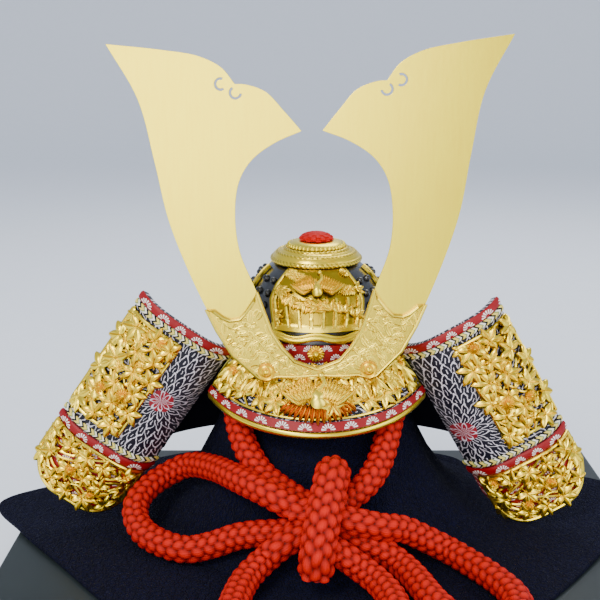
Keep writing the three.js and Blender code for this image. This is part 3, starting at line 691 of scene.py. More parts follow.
def figure_group() -> bpy.types.NodeTree:
    """Rows of small white fans for stencilled leather.

    Returns:
        A group that outputs their mask.
    """
    kit, start, end = group_tree("LeatherFigures", {"Width": 7.6, "Height": 3.6}, ("Mask",))
    calc = kit.math
    vector, width, height = (start.outputs[name] for name in ("Vector", "Width", "Height"))
    rays, ray_share, ray_start, ray_end, foot = 2.1, 0.52, 0.75, 2.3, -0.1
    parts = kit.add("ShaderNodeSeparateXYZ", {0: vector})
    up = calc("DIVIDE", parts.outputs[1], height)
    run = calc("ADD", calc("DIVIDE", parts.outputs[0], width), calc("MULTIPLY", calc("FLOOR", up), 0.5))
    x = calc("MULTIPLY", calc("SUBTRACT", calc("FRACT", run), 0.5), width)
    y = calc("SUBTRACT", calc("MULTIPLY", calc("FRACT", up), height), 0.5)
    place = kit.add("ShaderNodeCombineXYZ", {0: x, 1: y})
    reach = kit.add("ShaderNodeVectorMath", {0: place.outputs[0]}, operation="LENGTH").outputs["Value"]
    ray = calc("LESS_THAN", calc("FRACT", calc("MULTIPLY", calc("ARCTAN2", y, x), rays)), ray_share)
    band = calc("MULTIPLY", calc("GREATER_THAN", reach, ray_start), calc("LESS_THAN", reach, ray_end))
    above = calc("GREATER_THAN", y, foot)
    kit.tree.links.new(calc("MULTIPLY", calc("MULTIPLY", ray, band), above), end.inputs["Mask"])
    return kit.tree


class Paints:
    """Makes each material once and hands it out."""

    def __init__(self) -> None:
        self.made: dict[str, bpy.types.Material] = {}
        self.petals = petal_group()
        self.figures = figure_group()

    def get(self, finish: Finish) -> bpy.types.Material:
        """The material of a finish."""
        if finish.name not in self.made:
            self.made[finish.name] = self.make(finish)
        return self.made[finish.name]

    def make(self, finish: Finish) -> bpy.types.Material:
        """Builds the node tree of a finish."""
        material = bpy.data.materials.new(finish.name)
        material.use_nodes = True
        kit = Tree(material.node_tree)
        shader = material.node_tree.nodes["Principled BSDF"]
        shader.inputs["Metallic"].default_value = finish.metallic
        shader.inputs["Roughness"].default_value = finish.roughness
        shader.inputs["Coat Weight"].default_value = finish.coat
        shader.inputs["Coat Roughness"].default_value = COAT_ROUGHNESS
        shader.inputs["Sheen Weight"].default_value = finish.sheen
        shader.inputs["Specular IOR Level"].default_value = finish.specular
        place = kit.add("ShaderNodeTexCoord")
        grain = self.noise(kit, place, finish.scale, 4.0)
        kit.tree.links.new(self.colour(kit, finish, place, grain), shader.inputs["Base Color"])
        if finish.bump > 0:
            reach = CREPE_BUMP_DISTANCE if finish.pattern is Pattern.CREPE else BUMP_DISTANCE
            height = self.height(kit, finish, place, grain)
            bump = kit.add("ShaderNodeBump", {"Height": height, "Strength": finish.bump, "Distance": reach})
            kit.tree.links.new(bump.outputs["Normal"], shader.inputs["Normal"])
        return material

    @staticmethod
    def noise(kit: Tree, place: bpy.types.Node, scale: float, detail: float) -> bpy.types.NodeSocket:
        """Noise over the object, as a value from 0 to 1."""
        inputs = {"Vector": place.outputs["Object"], "Scale": scale, "Detail": detail}
        return kit.add("ShaderNodeTexNoise", inputs).outputs["Fac"]

    def colour(
        self, kit: Tree, finish: Finish, place: bpy.types.Node, grain: bpy.types.NodeSocket,
    ) -> bpy.types.NodeSocket:
        """Colour of a finish from its pattern; the cast, cord and lacing patterns get painted shade from the
        lift.
        """
        uv = place.outputs["UV"]
        cloud = self.noise(kit, place, 60.0, 2.0)
        # Painted shade: low lift takes the dark second colour, high lift the finish's own colour.
        if finish.pattern in SHADE_LIFT_RANGES:
            lift = kit.add("ShaderNodeAttribute", attribute_name="lift").outputs["Fac"]
            low, high = SHADE_LIFT_RANGES[finish.pattern]
            share = kit.add("ShaderNodeMapRange", {"Value": lift, "From Min": low, "From Max": high})
            return kit.mix(share.outputs[0], finish.second, finish.colour)
        if finish.pattern is Pattern.PETALS:
            petals = kit.add("ShaderNodeGroup", node_tree=self.petals)
            kit.tree.links.new(uv, petals.inputs["Vector"])
            ground = kit.mix(petals.outputs["Heart"], finish.colour, HEART_RED)
            worn = kit.mix(cloud, finish.second, tuple(0.72 * c for c in finish.second))
            return kit.mix(petals.outputs["Lines"], ground, worn)
        if finish.pattern is Pattern.FIGURES:
            figures = kit.add("ShaderNodeGroup", node_tree=self.figures)
            kit.tree.links.new(uv, figures.inputs["Vector"])
            ground = kit.mix(cloud, finish.colour, tuple(0.7 * c for c in finish.colour))
            return kit.mix(figures.outputs["Mask"], ground, finish.second)
        if finish.pattern is Pattern.SATIN:
            stretch = {"Vector": place.outputs["Object"], "Scale": (1.0, 1.0, 0.05)}
            long = kit.add("ShaderNodeMapping", stretch).outputs["Vector"]
            brushed = kit.add("ShaderNodeTexNoise", {"Vector": long, "Scale": 900.0, "Detail": 3.0})
            return kit.mix(brushed.outputs["Fac"], finish.colour, finish.second)
        if finish.pattern is Pattern.STRIPES:
            parts = kit.add("ShaderNodeSeparateXYZ", {0: uv})
            slant = kit.math("ABSOLUTE", kit.math("SUBTRACT", parts.outputs[1], BRAID_MIDDLE))
            run = kit.math("FRACT", kit.math("MULTIPLY", kit.math("ADD", parts.outputs[0], slant), 0.3))
            ramp = kit.add("ShaderNodeValToRGB", {"Fac": run})
            ramp.color_ramp.interpolation = "CONSTANT"
            for start, tone in ((0.34, BRAID_GREEN), (0.48, BRAID_WHITE), (0.74, finish.second)):
                ramp.color_ramp.elements.new(start).color = (*tone, 1.0)
            ramp.color_ramp.elements[0].color = (*finish.colour, 1.0)
            ramp.color_ramp.elements[-1].color = (*finish.second, 1.0)
            return ramp.outputs["Color"]
        spread = grain if finish.pattern is Pattern.CREPE else cloud
        return kit.mix(spread, finish.colour, finish.second)

    def height(
        self, kit: Tree, finish: Finish, place: bpy.types.Node, grain: bpy.types.NodeSocket,
    ) -> bpy.types.NodeSocket:
        """Height of the fine surface of a finish."""
        if finish.pattern is Pattern.CREPE:
            waves = {"Vector": place.outputs["Object"], "Scale": 130.0, "Distortion": 14.0, "Detail": 3.0,
                     "Detail Scale": 2.5}
        elif finish.pattern is Pattern.CORD:
            waves = {"Vector": place.outputs["UV"], "Scale": 0.5, "Distortion": 1.0}
        else:
            return grain
        return kit.math("ADD", kit.add("ShaderNodeTexWave", waves).outputs["Fac"], grain)


# Driving sizes, the same as the part's own

BOARD_WIDTH, BOARD_FRONT, BOARD_BACK, BOARD_HEIGHT, BOARD_SHIFT, BOARD_EDGE = 260, 160, 43, 30, 5, 1.5
BOWL_SET, BOWL_RIM, BOWL_HALF, BOWL_HEIGHT = -10.0, 101.0, 33.0, 41.0
BOWL_STRETCH, BOWL_FULLNESS = 1.106, 2.4
BAND_HEIGHT, BAND_DROP, BAND_WALL, GAP, CONE_GAP = 9.8, 0.5, 1.6, 0.3, 0.5
BAND_INNER = BOWL_HALF + GAP
BAND_OUTER = BAND_INNER + BAND_WALL
BAND_FOOT = BOWL_RIM - BAND_DROP
BAND_TOP = BAND_FOOT + BAND_HEIGHT
MOULDING_FOOT = BAND_TOP + 0.6
MOULDING_HEIGHT = 3.2
PLATE_FOOT = MOULDING_FOOT + MOULDING_HEIGHT + 1.2
PLATE_HEIGHT = 21.9
PLATE_HALF_ANGLES = (33, 37, 42, 42, 38)
RIDGE_ANGLES = (75, 128, 180, 232, 285)
CROWN_TOP = BOWL_RIM + BOWL_HEIGHT
VISOR_INNER = BAND_OUTER + CONE_GAP
VISOR_TOP = BOWL_RIM + 2
VISOR_HALF_WIDTH, VISOR_REACH, VISOR_DROP, VISOR_LIFT, VISOR_HALF_ANGLE = 49.5, 56.0, 23.0, 12.0, 62.0
VISOR_SLOPE = math.hypot(VISOR_DROP, VISOR_REACH - VISOR_INNER * BOWL_STRETCH)
VISOR_WALL, VISOR_SWELL = 1.5, 1.4
GUARD_TOP, GUARD_DROP, GUARD_HALF_WIDTH, GUARD_HALF_DEPTH = VISOR_TOP - 1, 53.0, 80.0, 46.0
GUARD_TOP_START, GUARD_SET_BACK, GUARD_FLARE, GUARD_START_RATE = -21.0, 2.2, 0.85, 1.6
LAMES, LAME_OVERLAP, LAME_LIFT, GUARD_WALL = 4, 0.22, 2.6, 1.5
SIDE_WIDTH, SIDE_OVERLAP, SIDE_FRONT, SIDE_WALL = 40.5, 2.5, -44.0, 2.0
SIDE_INNER_TURN, SIDE_OUTER_TURN = 13.0, 9.0
UPPER_LENGTH, LOWER_LENGTH, TIER_GAP = 61.0, 30.0, 0.8
LOWER_INNER_CUT, LOWER_OUTER_CUT = 16.0, 13.0
RED_BAND, BRAID, TRIM_WALL = 3.4, 2.4, 0.9
LOWER_START = UPPER_LENGTH + TIER_GAP
LOWER_END = LOWER_START + LOWER_LENGTH
TRIM_NEAR = SIDE_WALL + GAP


def bowl_share(z: float) -> float:
    """Share of the bowl's half width that is left at a height."""
    rise = min(max((z - BOWL_RIM) / BOWL_HEIGHT, 0), 1)
    return (1 - rise**BOWL_FULLNESS) ** (1 / BOWL_FULLNESS)


def bowl_point(angle: float, z: float) -> Vector:
    """Point on the bowl, with the angle counted from the front towards +X."""
    radius = BOWL_HALF * bowl_share(z)
    return Vector((radius * math.sin(angle), BOWL_SET - BOWL_STRETCH * radius * math.cos(angle), z))


def about_bowl(radius: float, angle: float, z: float) -> Vector:
    """Point about the bowl's axis, stretched from front to back as the bowl is."""
    return Vector((radius * math.cos(angle), BOWL_SET + BOWL_STRETCH * radius * math.sin(angle), z))


def visor_point(angle: float, out: float) -> Vector:
    """Point on the visor for an angle from the front and a share out from the bowl."""
    sine, cosine = math.sin(angle), math.cos(angle)
    width = lerp(VISOR_INNER, VISOR_HALF_WIDTH, out)
    depth = lerp(VISOR_INNER * BOWL_STRETCH, VISOR_REACH, out)
    edge = VISOR_TOP - VISOR_DROP + VISOR_LIFT * (1 - cosine)
    swell = VISOR_SWELL * math.sin(math.pi * min(out, 1))
    return Vector((width * sine, BOWL_SET - depth * cosine, lerp(VISOR_TOP, edge, out) + swell))


def visor_surface(outer: float, inner: float, half_angle: float = VISOR_HALF_ANGLE) -> Surface:
    """Part of the visor between two shares."""
    return lambda a, b: visor_point(math.radians(half_angle) * (2 * a - 1), lerp(outer, inner, b))


def guard_point(share: float, down: float) -> Vector:
    """Point on the neck guard for a share round it and a share down it."""
    below = max(down, 0)
    width = lerp(VISOR_INNER, GUARD_HALF_WIDTH, below**GUARD_FLARE)
    depth = lerp(VISOR_INNER * BOWL_STRETCH, GUARD_HALF_DEPTH, down)
    foot_start = SIDE_FRONT + SIDE_INNER_TURN + GUARD_SET_BACK
    start_y = lerp(GUARD_TOP_START, foot_start, min(GUARD_START_RATE * below, 1))
    start = math.acos(max(-1, min(1, (BOWL_SET - start_y) / depth)))
    angle = lerp(start, TAU - start, share)
    x, y = width * math.sin(angle), BOWL_SET - depth * math.cos(angle)
    return Vector((x, y, GUARD_TOP - GUARD_DROP * down))


@dataclass(frozen=True)
class SidePlate:
    """One turned-back side plate: its tag, side, tilt, top corner and its rosette's middle."""

    tag: str
    side: int
    tilt: float
    x: float
    z: float
    rosette: Pair

    def surface(
        self, start: float, end: float, inner: float = 0.0, outer: float = 1.0, rounded: bool = False,
    ) -> Surface:
        """Part of the plate between two distances down it and two shares across it.

        Args:
            start: distance down the plate of its upper edge.
            end: distance of its lower edge.
            inner: share across the plate of its inner edge.
            outer: share of its outer edge.
            rounded: whether the lower corners are cut as the lower tier's are.

        Returns:
            The surface of that part, with a from left to right and b upwards.
        """
        tilt = math.radians(self.tilt)

        def place(a: float, b: float) -> Vector:
            share = lerp(outer, inner, a) if self.side < 0 else lerp(inner, outer, a)
            u = share * SIDE_WIDTH - SIDE_OVERLAP
            bend = 2 * share - 1
            cut = (LOWER_INNER_CUT if bend < 0 else LOWER_OUTER_CUT) * bend**4 if rounded else 0.0
            v = lerp(end - cut, start, b)
            turn = (SIDE_INNER_TURN if bend < 0 else SIDE_OUTER_TURN) * abs(bend) ** 4
            return Vector((
                self.side * (self.x + u * math.cos(tilt) + v * math.sin(tilt)),
                SIDE_FRONT + turn,
                self.z + u * math.sin(tilt) - v * math.cos(tilt),
            ))

        return place


SIDE_PLATES = (
    SidePlate(tag="left", side=-1, tilt=35.0, x=BAND_OUTER + 3.2, z=BOWL_RIM + 6.6, rosette=(28.8, 28.5)),
    SidePlate(tag="right", side=1, tilt=29.5, x=BAND_OUTER + 3.6, z=BOWL_RIM + 7.3, rosette=(5.7, 17.5)),
)

# Chin cord: the chosen points of each stretch, as in the part's source

STRAND_LEFT = ((-33.5, -30, 91.5), (-34.8, -34, 86), (-33.6, -40.6, 79), (-30.6, -50.8, 72), (-26, -60, 66.2),
               (-20.5, -67.4, 62))
STRAND_RIGHT = ((32.6, -30, 91.5), (33.4, -35.4, 86), (30.4, -45.4, 78), (28, -53.4, 72), (25.4, -60, 66.6),
                (20, -69, 61), (10, -77, 56))
LOOP_LEFT = ((-3, -87, 57), (-12.4, -86, 59.4), (-18, -83, 61.4), (-24.1, -77.6, 62.2), (-29.9, -70.6, 62),
             (-35.9, -61.4, 61), (-41.8, -51.6, 59.2), (-54.6, -37, 54.6), (-64.2, -37, 50),
             (-70.8, -44, 47.4), (-74.4, -53.2, 44.6), (-73.6, -61, 41.2), (-69.2, -69, 39),
             (-60.2, -77.2, 38.1), (-50.6, -82, 38.3), (-40.9, -82.4, 40.4), (-31.7, -82.6, 43.8),
             (-23.7, -84.4, 46), (-12.4, -87.6, 48.4), (-3, -88, 52))
LOOP_RIGHT = ((2, -88, 56), (9, -90.5, 55.2), (18.1, -90.4, 53), (25, -88.6, 50.8), (32.1, -84.6, 48.2),
              (41.7, -82.4, 42.8), (50.8, -84.6, 38.9), (58.4, -93.9, 38), (65.2, -105.8, 38),
              (69, -116.1, 38), (69.2, -126, 38), (65, -133.6, 38), (56.4, -137, 38), (47.6, -133.4, 38),
              (42.6, -126, 38), (38.9, -116.1, 38), (35.6, -104.6, 38), (31, -95, 38.6), (25, -90.6, 41.4),
              (15, -88.6, 45.2), (3, -88, 52))
TAIL_LEFT = ((-13.5, -95.8, 47), (-20.5, -98, 41.8), (-26.2, -104.6, 38.6), (-29.6, -117.8, 38),
             (-31, -129, 38))
TAIL_RIGHT = ((0, -98, 50), (8.9, -99.6, 44.8), (15.5, -101.6, 40.6), (21, -106.6, 38.4), (25, -116.1, 38),
              (27.2, -129, 38))
WRAP = ((5.4, -74, 62), (5.7, -77.5, 68), (4.9, -83.5, 68.6), (3, -92.5, 63.4), (0.7, -101, 55.4),
        (-0.8, -105.5, 46.8), (-1.2, -105, 40.6))
CORD_DIAMETER, CORD_STEP, CORD_SIDES = 11.0, 0.5, 80
WRAP_RADIUS, WRAP_STEP, WRAP_SIDES = 7.1, 0.55, 98
TURN_RADIUS, TURN_SIDES = 5.2, 72
CORD_STITCHES = (8, 4.5)
WRAP_STITCHES = (10, 4.7)
WHIPPING_END = 3.6
TUFT_SHAPE = ((0.0, 0.93), (2.2, 0.72), (3.4, 0.7), (5.6, 0.95), (9.5, 0.86))


def within(point: Vector, outline: Sequence[Vector]) -> bool:
    """Whether a point of the XY plane lies inside an outline."""
    inside = False
    for a, b in zip(outline, [*outline[1:], outline[0]]):
        if (a.y > point.y) == (b.y > point.y):
            continue
        if point.x < a.x + (b.x - a.x) * (point.y - a.y) / (b.y - a.y):
            inside = not inside
    return inside


def length_of(path: Sequence[Vector]) -> float:
    """Length of a line of points."""
    return sum((b - a).length for a, b in zip(path, path[1:]))


def stitch(size: float, columns: int, pitch: float) -> Section:
    """Radius of a round braid whose plump stitches lie like scales.

    Args:
        size: radius over the stitches.
        columns: even number of columns of stitches round the cord.
        pitch: length of a stitch along the cord.

    Returns:
        A function of the direction and the distance, giving the radius and the lift, which paints shade into
        the valleys between stitches.
    """
    half_width, half_length, lean, valley, floor = 0.76, 0.6, 0.22, 0.42, 0.76

    def radius(angle: float, distance: float) -> Pair:
        turn = angle / TAU * columns
        best = 0.0
        for column in (math.floor(turn), math.floor(turn) + 1):
            odd = column % 2
            across = turn - column
            run = distance / pitch + 0.5 * odd + (lean if odd else -lean) * across
            along = run - round(run)
            best = max(best, 1 - (across / half_width) ** 2 - (along / half_length) ** 2)
        # The puff is also the lift, so the valleys are painted as shade.
        puff = max(0.0, math.sqrt(best) - valley) / (1 - valley)
        return size * lerp(floor, 1, puff), puff

    return radius


@dataclass
class Kabuto:
    """Makes the pieces, hangs them on the body and hides the CAD nodes that each of them stands for."""

    paints: Paints

    def keep(
        self, name: str, shell: Shell, finish: Finish, *nodes: str, smooth: float = SMOOTH,
    ) -> bpy.types.Object:
        """Makes a piece from a shell and puts it in the place of CAD nodes.

        Args:
            name: name of the piece.
            shell: its shape.
            finish: its surface.
            nodes: CAD nodes that it stands for.
            smooth: angle in degrees below which it is shaded smooth.

        Returns:
            The new object.
        """
        obj = shell.to_object(name, self.paints.get(finish), smooth)
        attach(obj, BODY)
        if nodes:
            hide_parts(*nodes)
        log.info("%s: %d faces", name, len(obj.data.polygons))
        return obj


@dataclass
class ChinCord:
    """The chin cord: two cords through one knot, each with a loop and a tail."""

    kit: Kabuto

    def make(self) -> None:
        """Makes the knot's wrap, both cords and their whipped ends."""
        wrap = self.wrap()
        self.cord("first", (*STRAND_LEFT, *LOOP_RIGHT, *TAIL_LEFT), "left", "right", [wrap])
        self.cord("second", (*STRAND_RIGHT, *LOOP_LEFT, *TAIL_RIGHT), "right", "left", [])

    def wrap(self) -> bpy.types.Object:
        """The broad turn round the middle of the bow, with the crossing turns under it."""
        shell = Shell()
        path = evenly(spline([Vector(p) for p in WRAP], 20), WRAP_STEP)
        shell.tube(path, stitch(WRAP_RADIUS, *WRAP_STITCHES), WRAP_SIDES)
        for way, rise in ((-1, 3.6), (1, 3.4), (-1, -3.4), (1, -3.2)):
            turn = [Vector((x * way, -87 - 2.5 * math.cos(x / 8), 54 + rise - 0.08 * x))
                    for x in range(-4, 12, 2)]
            shell.tube(evenly(turn, WRAP_STEP), stitch(TURN_RADIUS, *CORD_STITCHES), TURN_SIDES)
        return self.kit.keep("bow_wrap", shell, RED_CORD, "cord_knot", smooth=60)

    def cord(
        self, name: str, points: Sequence[tuple], side: str, loop: str, extra: Sequence[bpy.types.Object],
    ) -> None:
        """One cord from inside the visor through the bow to its whipped end.

        Args:
            name: which of the two it is.
            points: the points of its centre line.
            side: side of its strand and its tail.
            loop: side of its loop.
            extra: pieces that belong to it, apart from its tuft; not used.
        """
        shell = Shell()
        path = evenly(spline([Vector(p) for p in points], 24), CORD_STEP)
        shell.tube(path, stitch(CORD_DIAMETER / 2, *CORD_STITCHES), CORD_SIDES)
        nodes = (f"cord_strand_{side}", f"cord_loop_{loop}", f"cord_tail_{side}")
        obj = self.kit.keep(f"chin_cord_{name}", shell, RED_CORD, *nodes, smooth=60)
        tuft = self.tuft(side, path)

    def tuft(self, side: str, path: Sequence[Vector]) -> bpy.types.Object:
        """A whipped tuft of loose ends on the end of a cord."""
        way = (path[-1] - path[-3]).normalized()
        start = path[-1] + way * 0.4
        line = [start + way * (k * CORD_STEP) for k in range(20)]

        def radius(angle: float, distance: float) -> Pair:
            share = 0.9
            for (low, first), (high, second) in zip(TUFT_SHAPE, TUFT_SHAPE[1:]):
                if low <= distance <= high:
                    share = lerp(first, second, (distance - low) / (high - low))
            groove = 0.5 + 0.5 * math.cos(18 * angle)
            if distance < WHIPPING_END:
                groove = 0.5 + 0.5 * math.cos(distance * 6)
            # Lift follows the grooves, so they are painted as shade.
            return CORD_DIAMETER / 2 * share * (0.93 + 0.07 * groove), 0.3 + 0.7 * groove

        shell = Shell()
        shell.tube(line, radius, 72)
        return self.kit.keep(f"cord_tuft_{side}", shell, RED_CORD, f"cord_end_{side}", smooth=60)


CLOTH_EDGE = ((0, -172), (34, -156), (66, -128), (98, -92), (124, -56), (147, -18), (126, 3), (101, 4),
              (80, 5), (68, 27), (46, 36), (20, 39), (-10, 40), (-44, 38), (-66, 33), (-93, 15), (-118, -4),
              (-139, -26), (-123, -53), (-100, -82), (-76, -112), (-38, -150))
TENT_ROWS = {"front": (32, 88, 1.3), "side": (36, 80, 2.5), "back": (30, 50, 1.8)}
CORE_SET, TENT_HEIGHT, HEAD_SHARE, FOLD_DEPTH, CLOTH_WALL = -12.0, 82.0, 0.58, 2.0, 1.5
FOLDS = ((5, 0.4, 0.6), (9, 2.0, 0.4))
LAID_SHARES = (0.14, 0.3, 0.5, 0.74, 1)
PLEAT_DEPTH, CREASE_HEIGHT, FIRST_LAID_ROW = 1.1, 0.7, 10
CLOTH_STEPS = (220, 110)


@dataclass
class Stand:
    """The board, the core and the cloth."""

    kit: Kabuto

    def make(self) -> None:
        """Makes all three."""
        self.board()
        self.cloth()
        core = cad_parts["stand_core"]
        core.data.materials.clear()
        core.data.materials.append(self.kit.paints.get(PLAIN_WOOD))

    def board(self) -> None:
        """A plain board with softened edges."""
        left, right = BOARD_SHIFT - BOARD_WIDTH / 2, BOARD_SHIFT + BOARD_WIDTH / 2
        corners = ((left, -BOARD_FRONT), (right, -BOARD_FRONT), (right, BOARD_BACK), (left, BOARD_BACK))
        shell = Shell()
        shell.plate(drawing(corners), [], 0, BOARD_HEIGHT, Matrix.Identity(4), BOARD_EDGE)
        self.kit.keep("board", shell, BOARD_LACQUER, "display_board")

    def cloth(self) -> None:
        """The cloth, as one skin with soft folds."""
        base = BOARD_HEIGHT + GAP
        top = CROWN_TOP - 2 - GAP - CLOTH_WALL
        edge = spline(drawing(CLOTH_EDGE), 10, closed=True)

        def place(a: float, b: float) -> Vector:
            turn = (1 - a) % 1 * len(edge)
            at = int(turn) % len(edge)
            point = edge[at].lerp(edge[(at + 1) % len(edge)], turn - int(turn))
            dx, dy = point.x, point.y - CORE_SET
            angle = math.atan2(dx, -dy)
            reach = math.hypot(dx, dy)
            weight = math.cos(angle) ** 2
            facing = TENT_ROWS["front" if math.cos(angle) > 0 else "back"]
            neck, foot, slope = (lerp(s, f, weight) for s, f in zip(TENT_ROWS["side"], facing))
            fold = sum(share * math.cos(count * angle + phase) for count, phase, share in FOLDS) * FOLD_DEPTH
            flare = min(foot, reach - 1) + fold
            head = neck * HEAD_SHARE
            rings = [(0, top), (head * 0.5, top - 1.6), (head * 0.86, top - 9), (head, top - 24),
                     (neck * 0.8, TENT_HEIGHT + 10), (neck, TENT_HEIGHT)]
            for share in LAID_SHARES:
                rings.append((lerp(neck, flare, share), base + (TENT_HEIGHT - base) * (1 - share) ** slope))
            rings.append((max(reach, flare + 1), base))
            run = min(max(b, 0), 0.99999) * (len(rings) - 1)
            row = int(run)
            share = run - row
            radius = lerp(rings[row][0], rings[row + 1][0], share)
            z = lerp(rings[row][1], rings[row + 1][1], share)
            pleated = math.sin(math.pi * min(max((b - 0.5) * 2.4, 0), 1))
            pleat = PLEAT_DEPTH * math.sin(13 * angle + 1.5 * math.sin(3 * angle)) * pleated
            crease = 0.0
            if row >= FIRST_LAID_ROW:
                crease = CREASE_HEIGHT * (0.5 + 0.5 * math.sin(radius * 0.11 + 5 * angle))
            radius += pleat
            return Vector((radius * dx / reach, CORE_SET + radius * dy / reach, z + crease))

        shell = Shell()
        shell.sheet(place, CLOTH_STEPS, 0, CLOTH_WALL, wrapped=True)
        obj = self.kit.keep("cloth", shell, NAVY_CREPE, "cloth_cover", smooth=50)


class Leaf(Enum):
    """Kinds of raised ornament."""

    MAPLE = "maple"
    DAISY = "daisy"
    BOSS = "boss"


def ornament(shell: Shell, kind: Leaf, spot: Spot, size: float, turn: float, height: float = 1.2) -> None:
    """Adds one raised ornament.

    Args:
        shell: the shape that it joins.
        kind: what it is.
        spot: where it is set.
        size: its reach from the middle.
        turn: its turn in radians.
        height: its height.
    """
    if kind is Leaf.MAPLE:
        for aim, reach in ((0.0, 1.0), (0.95, 0.95), (-0.95, 0.95), (1.95, 0.78), (-1.95, 0.78)):
            shell.leaf(spot, size * reach, size * 0.46, turn + aim, height)
        shell.leaf(spot, size * 0.5, size * 0.12, turn + math.pi, height * 0.6)
    elif kind is Leaf.DAISY:

        def reach(way: float) -> float:
            return size * (0.8 + 0.2 * abs(math.cos(8 * way)) ** 0.6)

        def petals(share: float, way: float) -> float:
            rib = 0.5 + 0.5 * abs(math.cos(8 * way)) * min(1, share * 3)
            return height * rib * (1.1 - 0.6 * share**2)

        def heart(share: float, way: float) -> float:
            return height * (1.5 - 0.7 * share**2)

        shell.rosette(spot, reach, petals, 64, 4, turn=turn)
        shell.rosette(spot, lambda way: size * 0.28, heart, 14, 3)
    else:

        def ball(share: float, way: float) -> float:
            return height * math.sqrt(max(0.0, 1.02 - share**2))

        shell.rosette(spot, lambda way: size, ball, 16, 4)


FEATHER_ROWS = ((9, 0.66, 0.2), (6, 0.4, 0.5))


def crane(shell: Shell, spot: Spot, size: float, height: float) -> None:
    """Adds a crane with spread wings, feather by feather."""
    for side in (-1, 1):
        for row, (count, reach, rise) in enumerate(FEATHER_ROWS):
            for k in range(count):
                out = 1 - k / (count - 1)
                angle = math.radians(lerp(72, 40, out))
                x, y = side * size * lerp(0.06, 0.42, out), size * lerp(-0.12, -0.3 + 0.1 * row, out)
                root = spot.at(x, y, height * rise)
                aim = angle if side > 0 else math.pi - angle
                shell.leaf(Spot(root, spot.normal, spot.along), size * reach, size * 0.13, aim, height * 0.7)
    body = Spot(spot.at(0, -size * 0.1, height * 0.3), spot.normal, spot.along)
    shell.rosette(body, lambda way: size * 0.16 * (1 + 0.7 * abs(math.sin(way))),
                  lambda share, way: height * (1 - 0.6 * share**2), 24, 4)
    neck = []
    for k in range(11):
        neck.append(spot.at(0.16 * size * math.sin(0.26 * k), size * (0.08 + 0.04 * k), height * 0.9))
    shell.wire(neck, size * 0.055)
    ornament(shell, Leaf.BOSS, Spot(neck[-1], spot.normal, spot.along), size * 0.085, 0, height * 0.6)


BOWL_WALL, BOWL_RINGS, RIM_SIDES = 2, 24, 96
RIVET_ANGLES = (48, 61, 88, 101, 114, 141, 154, 167)
RIVET_ROWS, RIVET_START, RIVET_PITCH, RIVET_SIZE = 5, 3.6, 4.7, 2.15
RIDGE_TOP, RIDGE_WIDTH = 136.4, 3.4
CROWN_RING = ((8, 142.6), (11.5, 142.1), (15, 140.7), (18.6, 138.6), (19, 139.6), (18.6, 141.2),
              (17.6, 142.2), (16.6, 141.8), (15.8, 142.8), (14.6, 143.6), (13, 143.4), (12.4, 144.2),
              (8, 144.2), (8, 142.6))
CROWN_ROPES = ((18.6, 139.4, 1.25, 64), (16.4, 142.0, 1.0, 56), (13.4, 143.7, 0.85, 46))
CROWN_DOME = ((0, 144.5), (12.0, 144.5), (12.3, 145.0), (11.6, 146.0), (9.4, 146.8), (6, 147.1), (0, 147.1))
CROWN_BEADS, CROWN_BEAD_RING, CROWN_BEAD_LEVEL = 40, 11.9, 145.3
TUFT_RADIUS, TUFT_FOOT, TUFT_TOP, TUFT_ROWS, TUFT_BLOCKS = 7.6, 147.4, 150.7, 14, 20
MOULDING_CORDS = ((1.5, 1.35), (3.0, 0.7))
BAMBOO_STEMS = (0.08, 0.2, 0.32, 0.44, 0.56, 0.68, 0.8, 0.92)
SCATTER_ACROSS, SCATTER_UP = 0.618, 0.377


